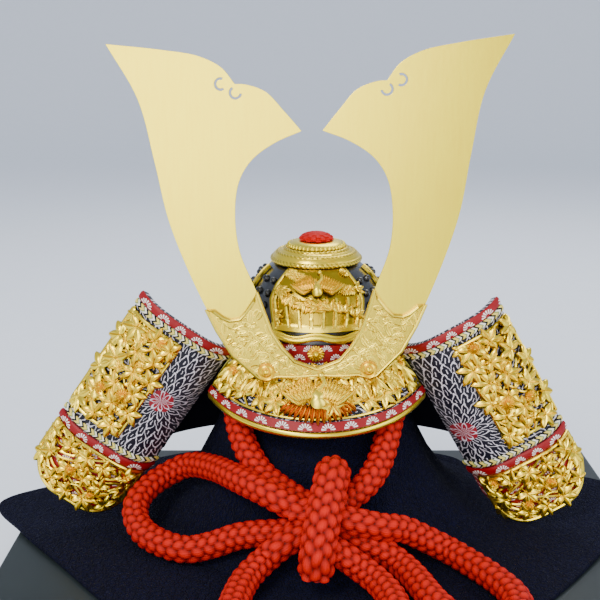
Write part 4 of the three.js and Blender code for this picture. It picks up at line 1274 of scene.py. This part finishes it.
@dataclass
class Bowl:
    """The riveted bowl with everything on it."""

    kit: Kabuto

    def make(self) -> None:
        """Makes the bowl, its strips, its crown and its brow."""
        self.dome()
        self.ridges()
        self.crown()
        self.brow()
        self.relief()

    def dome(self) -> None:
        """The black bowl with its rivets."""
        shell = Shell()
        outer, inner = [], []
        for i in range(BOWL_RINGS + 1):
            lift = math.sin(i / BOWL_RINGS * math.pi / 2)
            share = (1 - lift**BOWL_FULLNESS) ** (1 / BOWL_FULLNESS) if i < BOWL_RINGS else 0.0
            outer.append((BOWL_HALF * share, BOWL_RIM + BOWL_HEIGHT * lift))
            inner.append(((BOWL_HALF - BOWL_WALL) * share, BOWL_RIM + (BOWL_HEIGHT - BOWL_WALL) * lift))
        shell.lathe([*reversed(inner), *outer], RIM_SIDES, about_bowl)
        for angle in RIVET_ANGLES:
            for side in (-1, 1):
                for row in range(RIVET_ROWS):
                    z = BAND_TOP + RIVET_START + row * RIVET_PITCH
                    at = spot_on(bowl_point, math.radians(angle) * side, z)
                    spot = Spot(at.point, self.outward(at.point), at.along)
                    size = RIVET_SIZE * lerp(1, 0.75, row / (RIVET_ROWS - 1))
                    ornament(shell, Leaf.BOSS, spot, size, 0, 2.0)
        self.kit.keep("bowl", shell, BLACK_LACQUER, "helmet_bowl")

    @staticmethod
    def outward(point: Vector) -> Vector:
        """Direction out of the bowl at a point."""
        flat = Vector((point.x, (point.y - BOWL_SET) / BOWL_STRETCH**2, 0)) * (1 / BOWL_HALF)
        rise = max(0.0, (point.z - BOWL_RIM) / BOWL_HEIGHT) ** (BOWL_FULLNESS - 1)
        width = max(flat.length, NEARLY_NONE)
        upward = Vector((0, 0, rise * BOWL_HALF / BOWL_HEIGHT))
        return (flat / width * width ** (BOWL_FULLNESS - 1) + upward).normalized()

    def ridges(self) -> None:
        """Gold strips with line edges and a row of small leaves."""
        for number, angle in enumerate(RIDGE_ANGLES, start=1):

            def surface(a: float, b: float, angle: float = angle) -> Vector:
                z = lerp(BAND_TOP + 0.5, RIDGE_TOP, math.sin(b * math.pi / 2))
                spread = ((a - 0.5) * RIDGE_WIDTH * lerp(1, 0.75, b)) / (BOWL_HALF * bowl_share(z))
                return bowl_point(math.radians(angle) + spread, z)

            def relief(a: float, b: float) -> float:
                # The relief share is also the lift: the low middle between edges and leaves is painted as
                # shade.
                edge = 1.0 if abs(a - 0.5) > 0.38 else 0.1
                leaf = max(0.0, 1 - (a - 0.5) ** 2 * 14) * abs(math.sin(b * 26)) ** 0.6
                return max(edge, leaf)

            shell = Shell()
            shell.sheet(surface, (16, 90), 0.3, 1.5, relief)
            self.kit.keep(f"ridge_gold_{number}", shell, CAST_GOLD, f"ridge_strip_{number}")

    def crown(self) -> None:
        """Rope-edged ring, beaded dome and red woven top."""
        shell = Shell()
        shell.lathe(CROWN_RING, RIM_SIDES, about_bowl)
        for radius, z, size, twists in CROWN_ROPES:
            ring = [about_bowl(radius, TAU * k / 288, z) for k in range(288)]
            pitch = length_of([*ring, ring[0]]) / twists

            def rope(angle: float, distance: float, size: float = size, pitch: float = pitch) -> Pair:
                puff = abs(math.cos(0.5 * (3 * angle + TAU * distance / pitch)))
                # Lift follows the twist, so the grooves between strands are painted as shade.
                return size * (0.78 + 0.22 * puff), 0.1 + 0.9 * puff

            shell.tube(ring, rope, 12, closed=True)
        self.kit.keep("crown_rings", shell, CAST_GOLD, "crown_ring")
        dome = Shell()
        dome.lathe(CROWN_DOME, 72, about_bowl)
        for k in range(CROWN_BEADS):
            point = about_bowl(CROWN_BEAD_RING, TAU * k / CROWN_BEADS, CROWN_BEAD_LEVEL)
            ornament(dome, Leaf.BOSS, Spot(point, Vector((0, 0, 1)), Vector((1, 0, 0))), 0.75, 0, 0.8)
        self.kit.keep("crown_cap", dome, SATIN_GOLD, "crown_dome")
        tuft = Shell()
        rows = [(0, TUFT_FOOT)]
        for k in range(TUFT_ROWS):
            turn = k / TUFT_ROWS * math.pi / 2
            rows.append((TUFT_RADIUS * math.cos(turn), lerp(TUFT_FOOT, TUFT_TOP, math.sin(turn))))
        rows.append((0, TUFT_TOP))

        def weave(angle: float, row: int) -> float:
            # Sunken blocks keep 0.88 as their lift and are painted slightly shaded.
            return 1.0 if (int(angle / TAU * TUFT_BLOCKS) + row // 3) % 2 else 0.88

        tuft.lathe(rows, 80, about_bowl, weave)
        self.kit.keep("crown_woven_top", tuft, TUFT_RED, "crown_tuft", smooth=20)

    def brow(self) -> None:
        """Leather band, gold moulding of two waved wires and the brow stud."""
        band = Shell()

        def surface(a: float, b: float) -> Vector:
            angle = TAU * a
            x, y = BAND_INNER * math.sin(angle), BOWL_SET - BOWL_STRETCH * BAND_INNER * math.cos(angle)
            return Vector((x, y, lerp(BAND_FOOT, BAND_TOP, b)))

        band.sheet(surface, (120, 4), 0, BAND_WALL - 0.1, size=(220, BAND_HEIGHT), wrapped=True)
        self.kit.keep("brow_leather", band, RED_LEATHER, "brow_band")
        moulding = Shell()
        for rise, size in MOULDING_CORDS:
            line = []
            for k in range(121):
                a = k / 120
                angle = math.radians(33) * (2 * a - 1)
                z = MOULDING_FOOT + rise + 0.8 * math.cos(4 * math.pi * (a - 0.5))
                point = bowl_point(angle, z)
                line.append(point + self.outward(point) * 1.2)
            moulding.wire(line, size, 12)
        self.kit.keep("brow_wave_moulding", moulding, SATIN_GOLD, "brow_moulding")
        stud = Shell()
        centre = Vector((-0.6, BOWL_SET - BAND_OUTER * BOWL_STRETCH - 0.35, BAND_FOOT + 7))
        place = Spot(centre, Vector((0, -1, 0)), Vector((1, 0, 0)))
        ornament(stud, Leaf.DAISY, place, 3.4, 0, 0.8)
        ornament(stud, Leaf.BOSS, place, 1.7, 0, 2.9)
        self.kit.keep("brow_petal_stud", stud, YELLOW_GOLD, "brow_stud")

    def relief(self) -> None:
        """Front plate with bamboo and a crane in relief."""

        def half_angle(b: float) -> float:
            run = min(b, 0.999) * (len(PLATE_HALF_ANGLES) - 1)
            row = int(run)
            return lerp(PLATE_HALF_ANGLES[row], PLATE_HALF_ANGLES[row + 1], run - row)

        def surface(a: float, b: float) -> Vector:
            return bowl_point(math.radians(half_angle(b)) * (2 * a - 1), PLATE_FOOT + PLATE_HEIGHT * b)

        shell = Shell()
        # The ground's low share (0.3) is also its lift, so it is painted as shade round the raised work; the
        # bottom strip stands high and is not shaded.
        shell.sheet(surface, (64, 40), 0.4, 1.5, lambda a, b: 0.9 if b < 0.12 else 0.3)
        for a in BAMBOO_STEMS:
            line = trace(surface, 20, 1.5, lambda s, a=a: (a, 0.06 + 0.5 * s))
            shell.tube(line, lambda angle, distance: (0.8 if distance % 3.4 > 0.5 else 1.05, 0.95), 8)
        for k in range(26):
            a = 0.08 + 0.84 * (k * SCATTER_ACROSS % 1)
            b = 0.66 + 0.3 * (k * SCATTER_UP % 1)
            ornament(shell, Leaf.DAISY, spot_on(surface, a, b, 1.3), 2.4, k, 1.0)
        for k in range(24):
            a = 0.06 + 0.88 * (k * SCATTER_ACROSS % 1)
            b = 0.24 + 0.46 * (k * SCATTER_UP % 1)
            at = spot_on(surface, a, b, 1.5 + 0.4 * (k % 3))
            for aim in (-0.7, 0.0, 0.7):
                shell.leaf(at, 4.6, 1.8, k * 2.4 + aim, 1.1)
        for a in (0.04, 0.96):
            shell.wire(trace(surface, 30, 1.4, lambda s, a=a: (a, 0.02 + 0.94 * s)), 0.55)
        crane(shell, spot_on(surface, 0.5, 0.72, 2.1), 12.0, 2.4)
        self.kit.keep("front_crane_relief", shell, CAST_GOLD, "front_relief_plate")


VISOR_ARC, VISOR_STRIP, RIM_RADIUS, RIM_SET = 92, 3.2, 1.6, 0.9
FITTING_LIFT = 0.4
OPENWORK_BOSSES = ((0.06, 0.5), (0.9, 0.4), (0.955, 0.68))


@dataclass
class Visor:
    """The peak with its leather, leaf openwork, rim, crane and the crane's tail."""

    kit: Kabuto

    def make(self) -> None:
        """Makes all its pieces."""
        near = VISOR_WALL + GAP
        strip = VISOR_STRIP / VISOR_SLOPE
        plate = Shell()
        size, origin = (VISOR_ARC, VISOR_SLOPE), (VISOR_ARC / 2, 12)
        plate.sheet(visor_surface(1, 0), (90, 20), 0, VISOR_WALL, size=size, origin=origin)
        self.kit.keep("visor_leather", plate, PRINTED_LEATHER, "visor_plate")
        band = Shell()
        band.sheet(
            visor_surface(1, 1 - strip), (90, 3), near, near + TRIM_WALL, size=(VISOR_ARC, VISOR_STRIP),
        )
        self.kit.keep("visor_red_leather", band, RED_LEATHER, "visor_red_strip")
        self.rim()
        self.openwork(visor_surface(0.975 - strip, 0.06, VISOR_HALF_ANGLE - 2), near)
        bird = Shell()
        surface = visor_surface(1, 0)
        crane(bird, spot_on(surface, 0.5, 0.46, near + 1.3), 16, 2.2)
        self.kit.keep("visor_crane_relief", bird, PLAIN_GOLD, "visor_crane")
        tail = Shell()
        for k in range(15):
            out = k / 7 - 1
            root = spot_on(surface, 0.5 + 0.1 * out, 0.33 + 0.02 * abs(out), near + 1.2)
            tail.leaf(root, lerp(8.5, 6.5, abs(out)), 2.2, math.radians(-90 + 46 * out), 1.5)
        self.kit.keep("visor_crane_tail", tail, COPPER_GOLD)

    def rim(self) -> None:
        """Gold tube round the edge."""
        out = 1 + RIM_SET / VISOR_SLOPE
        half = math.radians(VISOR_HALF_ANGLE)
        side = half + RIM_SET / VISOR_HALF_WIDTH
        line = [visor_point(-side, lerp(0.3, 0.94, k / 14)) for k in range(15)]
        line += [visor_point(lerp(-half, half, k / 120), out) for k in range(121)]
        line += [visor_point(side, lerp(0.94, 0.3, k / 14)) for k in range(15)]
        line = spline(line[::3] + [line[-1]], 4)
        shell = Shell()
        shell.wire(line, RIM_RADIUS, 14)
        self.kit.keep("visor_gold_rim", shell, SATIN_GOLD, "visor_rim")

    def openwork(self, surface: Surface, near: float) -> None:
        """Leaves, chrysanthemums and scrolls with the leather showing between them."""
        shell = Shell()
        raised = near + FITTING_LIFT
        for b in (0.02, 0.98):
            shell.wire(trace(surface, 100, raised, lambda s, b=b: (s, b)), 0.6)
        for number in range(4):

            def scroll(s: float, number: int = number) -> Pair:
                return s, lerp(0.14, 0.86, number / 3) + 0.12 * math.sin(TAU * 8 * s + number * 2)

            shell.wire(trace(surface, 160, raised - 0.1, scroll), 0.6)
        for k in range(26):
            b, size = ((0.24, 6.6), (0.76, 7.2))[k % 2]
            spot = spot_on(surface, 0.025 + 0.95 * k / 25, b, raised + 0.5 * (k % 3))
            ornament(shell, Leaf.MAPLE, spot, size, k * 2.1, 1.5)
        for k in range(22):
            spot = spot_on(surface, 0.04 + 0.92 * k / 21, 0.5, raised)
            ornament(shell, Leaf.MAPLE, spot, 4.6, k * 1.3, 1.2)
        for k in range(16):
            spot = spot_on(surface, 0.06 + 0.88 * k / 15, 0.6, raised + 0.9)
            for aim in (-0.45, 0.0, 0.45):
                shell.leaf(spot, 9.0, 2.4, math.radians(-90) + 0.5 * math.sin(2.1 * k) + aim, 1.4)
        self.kit.keep("visor_leaf_openwork", shell, CAST_GOLD, "visor_openwork")
        bosses = Shell()
        for a, b in OPENWORK_BOSSES:
            ornament(bosses, Leaf.DAISY, spot_on(surface, a, b, raised + 0.5), 3.0, 0, 1.9)
        self.kit.keep("visor_chrysanthemums", bosses, YELLOW_GOLD)


FIRST_COLUMNS, MORE_COLUMNS = 46, 8
CELLS_PER_COLUMN, LAME_CELLS = 6, 14
LACING_WALL = GUARD_WALL + 0.3


@dataclass
class NeckGuard:
    """The laced lames at the back and the sides."""

    kit: Kabuto

    def make(self) -> None:
        """Makes the four lames with their columns of lacing."""
        pitch = 1 / LAMES
        for index in range(LAMES):
            head = index * pitch
            foot = min(head + pitch * (1 + LAME_OVERLAP), 1)

            def smooth(a: float, b: float, head: float = head, foot: float = foot) -> Vector:
                return guard_point(a, lerp(foot, head, b))

            def surface(a: float, b: float, smooth=smooth, index=index) -> Vector:
                at = spot_on(smooth, a, b)
                return at.point + at.normal * (LAME_LIFT * b if index else 0)

            columns = FIRST_COLUMNS + MORE_COLUMNS * index

            # The relief share is also the lift: the gaps between cords and the notches are painted as shade.
            def relief(a: float, b: float, columns: int = columns) -> float:
                run = (a * columns) % 1
                cord = max(0.0, 1 - (2 * run - 1) ** 2) ** 0.5
                notch = 0.55 + 0.45 * abs(math.sin(b * 9 + (1.6 if int(a * columns) % 2 else 0)))
                return cord * notch

            shell = Shell()
            cells = (columns * CELLS_PER_COLUMN, LAME_CELLS)
            shell.sheet(surface, cells, 0, LACING_WALL, relief, size=(160, 20))
            name = f"laced_lame_{index + 1}"
            self.kit.keep(name, shell, NAVY_LACING, f"neck_guard_lame_{index + 1}", smooth=55)


FITTING_RAISED = TRIM_NEAR + 0.5
SCROLLS = 6


@dataclass(frozen=True)
class LeafField:
    """Rows of maple leaves over one tier, with the chrysanthemums that stand on them."""

    tier: str
    rows: int
    columns: int
    sizes: Pair
    step: float
    turn: float
    height: float
    bosses: tuple[tuple[float, float, float], ...]


UPPER_FIELD = LeafField(
    "upper", 6, 3, sizes=(6.6, 7.8), step=0.6, turn=2.4, height=1.7,
    bosses=((0.35, 0.36, 3.3), (0.7, 0.3, 2.4), (0.3, 0.93, 2.4)),
)
LOWER_FIELD = LeafField(
    "lower", 3, 5, sizes=(5.6, 6.6), step=0.5, turn=1.9, height=1.6,
    bosses=((0.12, 0.86, 2.2), (0.62, 0.5, 2.4), (0.3, 0.3, 2.0)),
)


@dataclass
class SidePlates:
    """Both turned-back side plates with their leather, bands, braids and fittings."""

    kit: Kabuto

    def make(self) -> None:
        """Makes both sides."""
        for plate in SIDE_PLATES:
            self.leather(plate)
            self.bands(plate)
            upper = plate.surface(7.8, UPPER_LENGTH - 5.4, 0.44, 0.99)
            self.fitting(plate, upper, UPPER_FIELD, small_leaves=14)
            lower = plate.surface(LOWER_START + RED_BAND + 0.8, LOWER_END - 0.6, 0.06, 0.99, True)
            self.fitting(plate, lower, LOWER_FIELD)

    def leather(self, plate: SidePlate) -> None:
        """The two tiers."""
        upper = Shell()
        upper.sheet(plate.surface(0, UPPER_LENGTH), (48, 40), 0, SIDE_WALL, size=(SIDE_WIDTH, UPPER_LENGTH),
                    origin=plate.rosette)
        self.kit.keep(f"leather_upper_{plate.tag}", upper, PRINTED_LEATHER, f"side_plate_upper_{plate.tag}")
        lower = Shell()
        lower.sheet(plate.surface(LOWER_START, LOWER_END, rounded=True), (48, 24), 0, SIDE_WALL,
                    size=(SIDE_WIDTH, LOWER_LENGTH))
        self.kit.keep(f"leather_lower_{plate.tag}", lower, RED_LEATHER, f"side_plate_lower_{plate.tag}")

    def bands(self, plate: SidePlate) -> None:
        """Red leather bands and silk braids."""
        strips = (
            ("red_band_upper", 0.0, RED_BAND, RED_LEATHER),
            ("red_band_lower", LOWER_START, RED_BAND, RED_LEATHER),
            ("braid_upper", RED_BAND + GAP, BRAID, BRAIDED_SILK),
            ("braid_lower", UPPER_LENGTH - BRAID, BRAID, BRAIDED_SILK),
        )
        for name, start, width, finish in strips:
            shell = Shell()
            shell.sheet(plate.surface(start, start + width), (64, 6), TRIM_NEAR, TRIM_NEAR + TRIM_WALL,
                        lambda a, b: max(0.0, 1 - (2 * b - 1) ** 4), size=(SIDE_WIDTH, width))
            self.kit.keep(f"{name}_strip_{plate.tag}", shell, finish, f"{name}_{plate.tag}")

    def fitting(self, plate: SidePlate, surface: Surface, field: LeafField, small_leaves: int = 0) -> None:
        """Leaves over scrolls inside a border, and the chrysanthemums on them.

        Args:
            plate: the side plate.
            surface: the part of it that the fitting covers.
            field: its leaves and chrysanthemums.
            small_leaves: number of small leaves scattered between the rows.
        """
        shell = Shell()
        self.border(shell, surface)
        self.scrolls(shell, surface)
        for row in range(field.rows):
            for column in range(field.columns):
                number = row * field.columns + column
                a = (column + 0.5 + (0.2 if row % 2 else -0.2)) / field.columns
                raised = FITTING_RAISED + field.step * (number % 3)
                spot = spot_on(surface, a, (row + 0.5) / field.rows, raised)
                size = field.sizes[0 if number % 3 else 1]
                ornament(shell, Leaf.MAPLE, spot, size, number * field.turn, field.height)
        for number in range(small_leaves):
            a, b = (number * SCATTER_ACROSS) % 1 * 0.9 + 0.05, (number + 0.5) / small_leaves
            ornament(shell, Leaf.MAPLE, spot_on(surface, a, b, FITTING_RAISED - 0.1), 5.0, number * 1.3, 1.2)
        name = f"leaf_openwork_{field.tier}_{plate.tag}"
        self.kit.keep(name, shell, CAST_GOLD, f"leaf_fitting_{field.tier}_{plate.tag}")
        bosses = Shell()
        for across, up, size in field.bosses:
            share = across if plate.side > 0 else 1 - across
            ornament(bosses, Leaf.DAISY, spot_on(surface, share, up, TRIM_NEAR + 1.7), size, 0, 1.5)
        self.kit.keep(f"chrysanthemums_{field.tier}_{plate.tag}", bosses, YELLOW_GOLD)

    @staticmethod
    def border(shell: Shell, surface: Surface) -> None:
        """Thick wire round all four sides of a fitting."""
        low, high, steps = 0.01, 0.99, 40
        corners = ((low, low), (high, low), (high, high), (low, high))
        line = []
        for first, second in zip(corners, corners[1:] + corners[:1]):
            for k in range(steps):
                a, b = (lerp(f, s, k / steps) for f, s in zip(first, second))
                line.append(spot_on(surface, a, b, FITTING_RAISED).point)
        shell.wire(line, 0.85, 8, closed=True)

    @staticmethod
    def scrolls(shell: Shell, surface: Surface) -> None:
        """Waving stems, up and across, that join the leaves."""
        for upright in (True, False):
            for number in range(SCROLLS):

                def stem(s: float, upright: bool = upright, number: int = number) -> Pair:
                    middle = (number + 0.5) / SCROLLS
                    if upright:
                        return middle + 0.09 * math.sin(TAU * 2.5 * s + number * 2), lerp(0.02, 0.98, s)
                    return lerp(0.02, 0.98, s), middle + 0.07 * math.sin(TAU * 2 * s + number)

                shell.wire(trace(surface, 60, FITTING_RAISED - 0.1, stem), 0.62)


CREST_PLACE = (
    Matrix.Translation((0, -56, 99))
    @ Matrix.Rotation(math.radians(-1.4), 4, "Y")
    @ Matrix.Rotation(math.radians(86), 4, "X")
)
HORN_TIP = (77.4, 132)
HORN_TOP_EDGE = ((56, 129.3), (42.5, 126.7), (34, 122.3), (29, 116))
HORN_LOBE = ((25.3, 115.8), (17.5, 112.9), (10.5, 105.4), (4, 97.7))
HORN_INNER_EDGE = ((14.5, 93.4), (23.6, 87), (28.7, 78.8), (30.6, 66), (29.2, 51.5), (23, 35.3), (17.2, 18),
                   (15, 8))
HORN_FOOT = ((19, 5), (26, 6))
HORN_OUTER_EDGE = ((36, 16), (45, 33.5), (56.2, 63.5), (60.9, 87), (66.3, 111.2), HORN_TIP)
SWIRLS = ((34.4, 116.1, 2.1, 110, -120), (28.9, 112.7, 2.1, 60, -170))
HOLDER_LOWER = ((9, 0.6), (16, 0.8), (20.5, -0.6), (24, 0.6), (34, 10.3), (40, 20.6), (43.9, 29.3))
HOLDER_SCALLOPS = ((39.9, 29.2), (36.4, 26.4), (34, 25.4), (30.4, 25.8), (28, 28.4), (25, 32.6),
                   (22.6, 36.2))
HOLDER_INNER = ((20, 28.5), (17.3, 20.4), (13.2, 13.5), (8.5, 8.2), (0, 5))
HOLDER_STEM = ((3, 3.2), (10, 4.6), (17, 9.6), (23.4, 16.6), (28, 22.6), (33.4, 21.4), (38.2, 25.6))
HOLDER_WALL, HORN_WALL = 1.2, 1.0
HOLDER_SHADE_LIFT, HOLDER_BORDER, LEAF_SPREAD = 0.45, 0.9, 2.5
SWIRL_HALF_WIDTH = 0.45
STUD_PLACE = (20.3, 4.0)


@dataclass
class Crest:
    """The two horns in their engraved holder."""

    kit: Kabuto

    def make(self) -> None:
        """Makes the horns, the holder and the studs."""
        for tag, side in (("left", -1), ("right", 1)):
            self.horn(tag, side)
            self.stud(tag, side)
        self.holder()

    def horn(self, tag: str, side: int) -> None:
        """One horn with its linked swirl cut-outs."""
        outline = []
        start = Vector((HORN_TIP[0] * side, HORN_TIP[1], 0))
        for rows in (HORN_TOP_EDGE, HORN_LOBE, HORN_INNER_EDGE):
            line = spline([start, *drawing(rows, side)], 8)
            outline.extend(line[:-1])
            start = line[-1]
        outline.extend([start, *drawing(HORN_FOOT, side)])
        line = spline([outline[-1], *drawing(HORN_OUTER_EDGE, side)], 8)
        outline.extend(line[1:-1])
        holes = []
        for x, y, radius, first, last in SWIRLS:
            ring = []
            for way, ends in ((1, (first, last)), (-1, (last, first))):
                reach = radius + way * SWIRL_HALF_WIDTH
                for k in range(13):
                    angle = math.radians(lerp(*ends, k / 12))
                    ring.append((x + reach * math.cos(angle), y + reach * math.sin(angle)))
            holes.append(drawing(ring, side))
        shell = Shell()
        shell.plate(outline, holes, -HORN_WALL - GAP, -GAP, CREST_PLACE, 0.22)
        self.kit.keep(f"horn_{tag}", shell, SATIN_GOLD, f"crest_horn_{tag}", smooth=20)

    def stud(self, tag: str, side: int) -> None:
        """A ringed stud that pins the horn and the holder."""
        shell = Shell()
        place = CREST_PLACE @ Vector((STUD_PLACE[0] * side, STUD_PLACE[1], HOLDER_WALL + GAP))
        turn = CREST_PLACE.to_3x3()
        at = Spot(place, turn @ Vector((0, 0, 1)), turn @ Vector((1, 0, 0)))

        def rings(share: float, way: float) -> float:
            return 0.75 + 0.25 * math.cos(share * 12)

        def cap(share: float, way: float) -> float:
            return 2.9 * math.sqrt(max(0.05, 1 - 0.9 * share**2))

        shell.rosette(at, lambda way: 3.4, rings, 40, 8, base=0.0)
        shell.rosette(at, lambda way: 1.8, cap, 24, 5, base=0.3)
        shell.tube([at.at(0, 0, z) for z in (0.2, -1.6, -4.5)], lambda angle, distance: (1.2, 0.5), 12)
        self.kit.keep(f"ringed_stud_{tag}", shell, YELLOW_GOLD, f"crest_stud_{tag}")

    def engraved_leaf(self, shell: Shell, root: Vector, length: float, angle: float) -> None:
        """The outline and midrib of one leaf, as fine raised lines."""
        way = Vector((math.cos(angle), math.sin(angle), 0))
        over = Vector((-way.y, way.x, 0))
        outline = []
        for k in range(16):
            turn = TAU * k / 16
            along = way * (length * (0.5 - 0.5 * math.cos(turn)))
            outline.append(root + along + over * (length * 0.22 * math.sin(turn)))
        self.engrave(shell, outline, 0.28, 5, closed=True)
        self.engrave(shell, [root + way * (length * s) for s in (0.1, 0.5, 0.86)], 0.22, 5)

    @staticmethod
    def engrave(shell: Shell, line: Sequence[Vector], size: float, sides: int, closed: bool = False) -> None:
        """A raised line on the holder's face."""
        shell.wire([CREST_PLACE @ (p + Vector((0, 0, HOLDER_WALL))) for p in line], size, sides, closed)

    def holder(self) -> None:
        """The engraved holder with its raised border and foliage."""
        half = drawing((*HOLDER_LOWER, *HOLDER_SCALLOPS, *HOLDER_INNER))
        mirror = [Vector((-p.x, p.y, 0)) for p in reversed(half) if p.x > 0]
        outline = [Vector((0, 1, 0)), *half, *mirror]
        shell = Shell()
        shell.plate(outline, [], 0, HOLDER_WALL, CREST_PLACE, 0.3)
        # A middle lift paints the flat plate half shaded, darker than its raised lines.
        shell.lifts = [HOLDER_SHADE_LIFT] * len(shell.lifts)
        border = []
        count = len(outline)
        for i, p in enumerate(outline):
            way = (outline[(i + 1) % count] - outline[i - 1]).normalized()
            inward = Vector((-way.y, way.x, 0))
            border.append(p + inward * HOLDER_BORDER)
        self.engrave(shell, border, 0.65, 8, closed=True)
        for side in (-1, 1):
            self.engrave(shell, spline(drawing(HOLDER_STEM, side), 8), 0.3, 6)
        for row in range(16):
            for column in range(-18, 19):
                x = (column + (0.5 if row % 2 else 0.0)) * LEAF_SPREAD
                root = Vector((x, row * LEAF_SPREAD * 0.9 - 1.0, 0))
                length = 3.8 if (row + column) % 3 else 5.0
                angle = math.radians(90) - x * 0.02 + 2.2 * math.sin(2.3 * column + 1.7 * row)
                tip = root + Vector((math.cos(angle), math.sin(angle), 0)) * length
                if within(root, border) and within(tip, border):
                    self.engraved_leaf(shell, root, length, angle)
        self.kit.keep("engraved_holder", shell, PLAIN_GOLD, "crest_holder", smooth=20)


CAMERA_PLACE, CAMERA_PITCH, CAMERA_LENS = (-0.007, -0.455, 0.228), 13.6, 63.0
LIGHT_TARGET = (0, -0.04, 0.11)
LIGHTS = (
    ("key", (-0.5, -0.75, 0.95), 0.5, 9.0, (1.0, 0.98, 0.95)),
    ("fill", (0.9, -0.6, 0.5), 0.8, 6.0, (0.97, 0.98, 1.0)),
    ("front", (-0.3, -1.7, 0.55), 1.2, 16.0, (1.0, 0.99, 0.97)),
    ("back", (0.2, 0.7, 0.9), 0.6, 5.0, (1.0, 1.0, 1.0)),
)
SKY_COLOUR, SKY_STRENGTH = (0.72, 0.77, 0.86, 1.0), 0.95
FLOOR_HALF, FLOOR_BEND, BEND_RADIUS, BEND_STEPS = 6.0, 1.6, 1.2, 12


class Studio:
    """The camera, the floor and the lights."""

    def camera(self) -> None:
        """Camera at the photo's angle, for a square picture."""
        data = bpy.data.cameras.new("camera")
        data.sensor_width = 36.0
        data.lens = CAMERA_LENS
        data.clip_end = 50.0
        obj = bpy.data.objects.new("camera", data)
        obj.location = CAMERA_PLACE
        obj.rotation_euler = (math.radians(90 - CAMERA_PITCH), 0, 0)
        bpy.context.scene.collection.objects.link(obj)
        bpy.context.scene.camera = obj

    def floor(self, paints: Paints) -> None:
        """A wide pale floor that curves up into a backdrop."""
        profile = [(-FLOOR_HALF, 0.0), (FLOOR_BEND, 0.0)]
        for k in range(1, BEND_STEPS + 1):
            turn = math.pi / 2 * k / BEND_STEPS
            rise = BEND_RADIUS - BEND_RADIUS * math.cos(turn)
            profile.append((FLOOR_BEND + BEND_RADIUS * math.sin(turn), rise))
        profile.append((FLOOR_BEND + BEND_RADIUS, FLOOR_HALF))
        verts = [(x, y, z) for y, z in profile for x in (-FLOOR_HALF, FLOOR_HALF)]
        faces = [(2 * k, 2 * k + 1, 2 * k + 3, 2 * k + 2) for k in range(len(profile) - 1)]
        mesh = bpy.data.meshes.new("floor")
        mesh.from_pydata(verts, [], faces)
        mesh.shade_smooth()
        mesh.materials.append(paints.get(FLOOR))
        obj = bpy.data.objects.new("floor", mesh)
        bpy.context.scene.collection.objects.link(obj)

    def light(self, name: str, place: tuple, size: float, power: float, colour: tuple) -> None:
        """One soft area light that looks at the helmet."""
        data = bpy.data.lights.new(name, "AREA")
        data.shape = "DISK"
        data.size = size
        data.energy = power
        data.color = colour
        obj = bpy.data.objects.new(name, data)
        obj.location = place
        aim = Vector(LIGHT_TARGET) - Vector(place)
        obj.rotation_euler = aim.to_track_quat("-Z", "Y").to_euler()
        bpy.context.scene.collection.objects.link(obj)

    def lights(self) -> None:
        """The area lights under a pale sky."""
        for row in LIGHTS:
            self.light(*row)
        world = bpy.data.worlds.new("studio")
        world.use_nodes = True
        sky = world.node_tree.nodes["Background"]
        sky.inputs["Color"].default_value = SKY_COLOUR
        sky.inputs["Strength"].default_value = SKY_STRENGTH
        bpy.context.scene.world = world


def main() -> None:
    """Builds the scene."""
    logging.basicConfig(level=logging.INFO, format="%(name)s: %(message)s")
    studio = Studio()
    studio.camera()
    paints = Paints()
    kit = Kabuto(paints)
    ChinCord(kit).make()
    Stand(kit).make()
    Bowl(kit).make()
    Visor(kit).make()
    NeckGuard(kit).make()
    SidePlates(kit).make()
    Crest(kit).make()
    studio.floor(paints)
    studio.lights()


if __name__ == "__main__":
    main()
